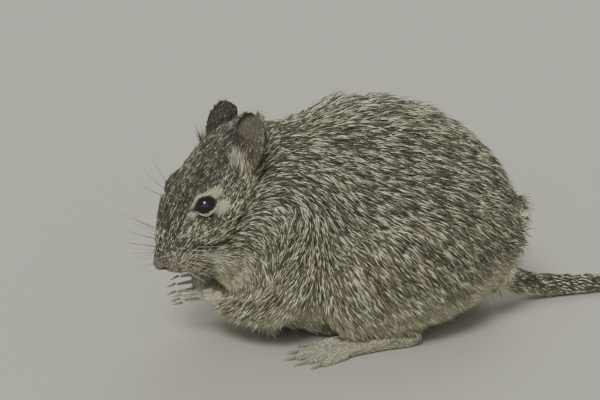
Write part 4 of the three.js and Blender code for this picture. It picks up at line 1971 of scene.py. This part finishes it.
@dataclass(frozen=True)
class Whiskers:
    """Stiff curved hairs of one side of the muzzle and brow, drawn as tapered rods.

    Attributes:
        side: 1 for the left and -1 for the right.
        fan: direction of the middle of the fan, in the head's frame.
        reach: length of a whisker in millimetres.
        radius: radius at the root in metres.
        rows: rows of whiskers, one above the other.
        columns: whiskers in a row, from the front backwards.
        brows: whiskers over the eye.
        brow_reach: length of those in millimetres.
        steps: points along a whisker.
        corners: sides of a rod.
        taper: share of the radius that is lost at the tip.
        sag: how far the tip bends, against the length.
        buried: share of the length under the skin.
    """

    side: int
    fan: tuple[float, float, float]
    reach: float
    radius: float
    rows: int = 4
    columns: int = 5
    brows: int = 3
    brow_reach: float = 11.0
    steps: int = 9
    corners: int = 6
    taper: float = 0.86
    sag: float = 0.30
    buried: float = 0.12

    def routes(self, rng: np.random.Generator) -> list[np.ndarray]:
        """Return the route of every whisker in the world.

        Args:
            rng: source of the scatter.

        Returns:
            Points along each whisker.
        """
        side, routes = self.side, []
        for row in range(self.rows):
            for column in range(self.columns):
                start = np.array([side * (5.6 + 0.7 * column), 4.6 + 1.9 * column, -6.6 + 1.9 * row])
                aim = np.array(self.fan) + np.array([0.0, 0.10 * column, 0.14 * (row - 1.5)])
                aim = unit(aim + 0.07 * rng.standard_normal(3))
                length = self.reach * (0.7 + 0.12 * column) * rng.uniform(0.85, 1.15)
                routes.append(self.arc(start, aim, length, np.array([0.0, 0.5, -0.35])))
        for number in range(self.brows):
            start = np.array([side * (5.4 + 1.1 * number), 19.5 + 2.0 * number, 12.4])
            aim = unit(np.array([side * 0.45, -0.35 + 0.25 * number, 0.8]))
            routes.append(self.arc(start, aim, self.brow_reach, np.array([0.0, 0.55, -0.1])))
        return routes

    def arc(self, start: np.ndarray, aim: np.ndarray, length: float, bend: np.ndarray) -> np.ndarray:
        """Return a curved route in the world from a start in the head's frame.

        Args:
            start: root in millimetres, in the head's frame.
            aim: first direction, in the head's frame.
            length: length in millimetres.
            bend: direction in which the tip sags, in the head's frame.

        Returns:
            Points along the route.
        """
        t = np.linspace(-self.buried, 1.0, self.steps)[:, None]
        fall = length * self.sag * np.maximum(t, 0.0) ** 2
        return HEAD.outward(start + aim * length * t + bend * fall)

    def tree(self, finish: bpy.types.Material) -> bpy.types.NodeTree:
        """Build the Geometry Nodes tree that turns routes into tapered rods.

        Args:
            finish: material of the whiskers.

        Returns:
            The node tree, with the radius as a named input.
        """
        group = bpy.data.node_groups.new("whisker_rods", "GeometryNodeTree")
        face = group.interface
        face.new_socket("Geometry", in_out="INPUT", socket_type="NodeSocketGeometry")
        face.new_socket("Root radius", in_out="INPUT", socket_type="NodeSocketFloat")
        face.new_socket("Geometry", in_out="OUTPUT", socket_type="NodeSocketGeometry")

        def node(kind: str, settings: dict, inputs: dict) -> bpy.types.Node:
            """Add one node to this tree."""
            return add_node(group, kind, settings, inputs)

        start = node("NodeGroupInput", {}, {})
        curve = node("GeometryNodeMeshToCurve", {}, {0: start.outputs["Geometry"]})
        place = node("GeometryNodeSplineParameter", {}, {}).outputs["Factor"]
        taper = node("ShaderNodeMath", {"operation": "MULTIPLY_ADD"}, {0: place, 1: -self.taper, 2: 1.0})
        thick = node(
            "ShaderNodeMath",
            {"operation": "MULTIPLY"},
            {0: taper.outputs[0], 1: start.outputs["Root radius"]},
        )
        profile = node(
            "GeometryNodeCurvePrimitiveCircle", {}, {"Resolution": self.corners, "Radius": 1.0}
        )
        rod = node(
            "GeometryNodeCurveToMesh",
            {},
            {
                "Curve": curve.outputs[0],
                "Profile Curve": profile.outputs["Curve"],
                "Scale": thick.outputs[0],
                "Fill Caps": True,
            },
        )
        real = node("GeometryNodeRealizeInstances", {}, {0: rod.outputs[0]})
        dressed = node("GeometryNodeSetMaterial", {}, {0: real.outputs[0], "Material": finish})
        node("NodeGroupOutput", {}, {0: dressed.outputs[0]})
        return group

    def build(self, finish: bpy.types.Material, rng: np.random.Generator) -> bpy.types.Object:
        """Build the whiskers of this side.

        Args:
            finish: their material.
            rng: source of the scatter.

        Returns:
            The piece as a plain mesh.
        """
        routes = self.routes(rng)
        firsts = range(0, len(routes) * self.steps, self.steps)
        edges = [(first + k, first + k + 1) for first in firsts for k in range(self.steps - 1)]
        name = f"whiskers_{side_name(self.side)}"
        mesh = bpy.data.meshes.new(name)
        mesh.from_pydata(np.vstack(routes).tolist(), edges, [])
        made = add_object(name, mesh)
        rods = made.modifiers.new("rods", "NODES")
        rods.node_group = self.tree(finish)
        inputs = {item.name: item.identifier for item in rods.node_group.interface.items_tree}
        rods[inputs["Root radius"]] = self.radius
        made.data = evaluated(made)
        made.data.shade_smooth()
        return made


@dataclass(frozen=True)
class Sun:
    """One broad even light that reaches the whole floor alike.

    Attributes:
        name: name of the light.
        source: direction that it comes from.
        strength: its strength in watts to the square metre.
        spread: how wide it looks from the animal, in degrees.
        tint: colour of its light.
    """

    name: str
    source: tuple[float, float, float]
    strength: float
    spread: float
    tint: tuple[float, float, float]

    def hang(self) -> None:
        """Put the light in the scene."""
        data = bpy.data.lights.new(self.name, "SUN")
        data.energy = self.strength
        data.angle = math.radians(self.spread)
        data.color = self.tint
        made = add_object(self.name, data)
        made.rotation_euler = Vector(self.source).to_track_quat("Z", "Y").to_euler()


SUNS = (
    Sun("key", (0.75, -0.45, 1.05), 2.3, 20.0, (1.0, 0.985, 0.94)),
    Sun("back", (-0.7, 0.4, 0.9), 0.8, 40.0, (1.0, 0.985, 0.95)),
    Sun("fill", (1.0, -0.3, 0.10), 0.75, 80.0, (0.96, 0.98, 1.0)),
)


@dataclass(frozen=True)
class Studio:
    """Floor, soft light and the camera.

    Attributes:
        azimuth: turn of the camera round the animal, from its front to its left.
        elevation: angle of the camera over the floor.
        distance: distance of the camera from its target in metres.
        lens: focal length in millimetres.
        sensor: width of the sensor in millimetres.
        near: least distance that the camera sees in metres.
        target: place that the camera looks at.
        floor_size: width of the floor in metres.
        sky: colour of the surrounding light.
        sky_strength: its strength.
    """

    azimuth: float = math.radians(75.5)
    elevation: float = math.radians(22)
    distance: float = 0.9
    lens: float = 164.0
    sensor: float = 36.0
    near: float = 0.01
    target: tuple[float, float, float] = (0.0257, -0.0719, 0.0580)
    floor_size: float = 60.0
    sky: Colour = colour(0.93, 0.93, 0.88)
    sky_strength: float = 0.50

    def camera(self) -> None:
        """Place the camera at the framing of the photograph."""
        data = bpy.data.cameras.new("camera")
        data.lens = self.lens
        data.sensor_width = self.sensor
        data.clip_start = self.near
        made = add_object("camera", data)
        flat = math.cos(self.elevation) * self.distance
        ahead, aside = math.cos(self.azimuth) * flat, math.sin(self.azimuth) * flat
        back = Vector((aside, -ahead, math.sin(self.elevation) * self.distance))
        made.location = Vector(self.target) + back
        made.rotation_euler = back.to_track_quat("Z", "Y").to_euler()
        bpy.context.scene.camera = made

    def floor(self) -> None:
        """Build the plain floor."""
        half = self.floor_size / 2
        corners = [(-half, -half, 0.0), (half, -half, 0.0), (half, half, 0.0), (-half, half, 0.0)]
        mesh = bpy.data.meshes.new("floor")
        mesh.from_pydata(corners, [], [(0, 1, 2, 3)])
        mesh.materials.append(FloorFinish().make())
        add_object("floor", mesh)

    def light(self) -> None:
        """Hang the suns and set the surrounding light."""
        for sun in SUNS:
            sun.hang()
        world = bpy.data.worlds.new("studio")
        world.use_nodes = True
        backdrop = world.node_tree.nodes["Background"]
        backdrop.inputs["Color"].default_value = self.sky
        backdrop.inputs["Strength"].default_value = self.sky_strength
        bpy.context.scene.world = world


def dress(piece: bpy.types.Object, slot: Slot, *nodes: str) -> None:
    """Fix a piece to the body and hide the nodes that it stands for.

    Args:
        piece: finished piece.
        slot: material slot of the record; not used.
        nodes: CAD nodes that the piece replaces.
    """
    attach(piece, BODY)
    if nodes:
        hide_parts(*nodes)
    LOG.info("%s: %d faces", piece.name, len(piece.data.polygons))


def main() -> None:
    """Build the studio and every piece of the animal."""
    logging.basicConfig(level=logging.INFO, format="%(name)s %(message)s")
    studio = Studio()
    studio.camera()
    studio.light()
    studio.floor()

    skin, pelt = Skin(ZoneMap()).build()
    dress(skin, Slot.BACK, *FLESH)

    eye_finish = EyeFinish().make()
    for socket in SOCKETS:
        dress(Eyeball(socket).build(eye_finish), Slot.EYE, f"eye_{socket.name}")

    claw_finish = CLAW_HORN.make()
    for claws in (Claws("forepaw", 4), Claws("hind_foot", 5)):
        dress(claws.build(claw_finish), Slot.CLAW, *claws.nodes)

    for piece in Coat(pelt, CoatFinish().make()).build():
        dress(piece, Slot.DARK if "tail" in piece.name else Slot.BACK)

    rng = np.random.default_rng(SEED + 2)
    left = Whiskers(1, (0.72, 0.10, -0.55), 9.0, 0.095 * MM)
    right = Whiskers(-1, (-0.62, -0.72, 0.42), 22.0, 0.13 * MM)
    dress(left.build(PALE_HAIR.make(), rng), Slot.PALE)
    dress(right.build(DARK_HAIR.make(), rng), Slot.DARK)


if __name__ == "__main__":
    main()
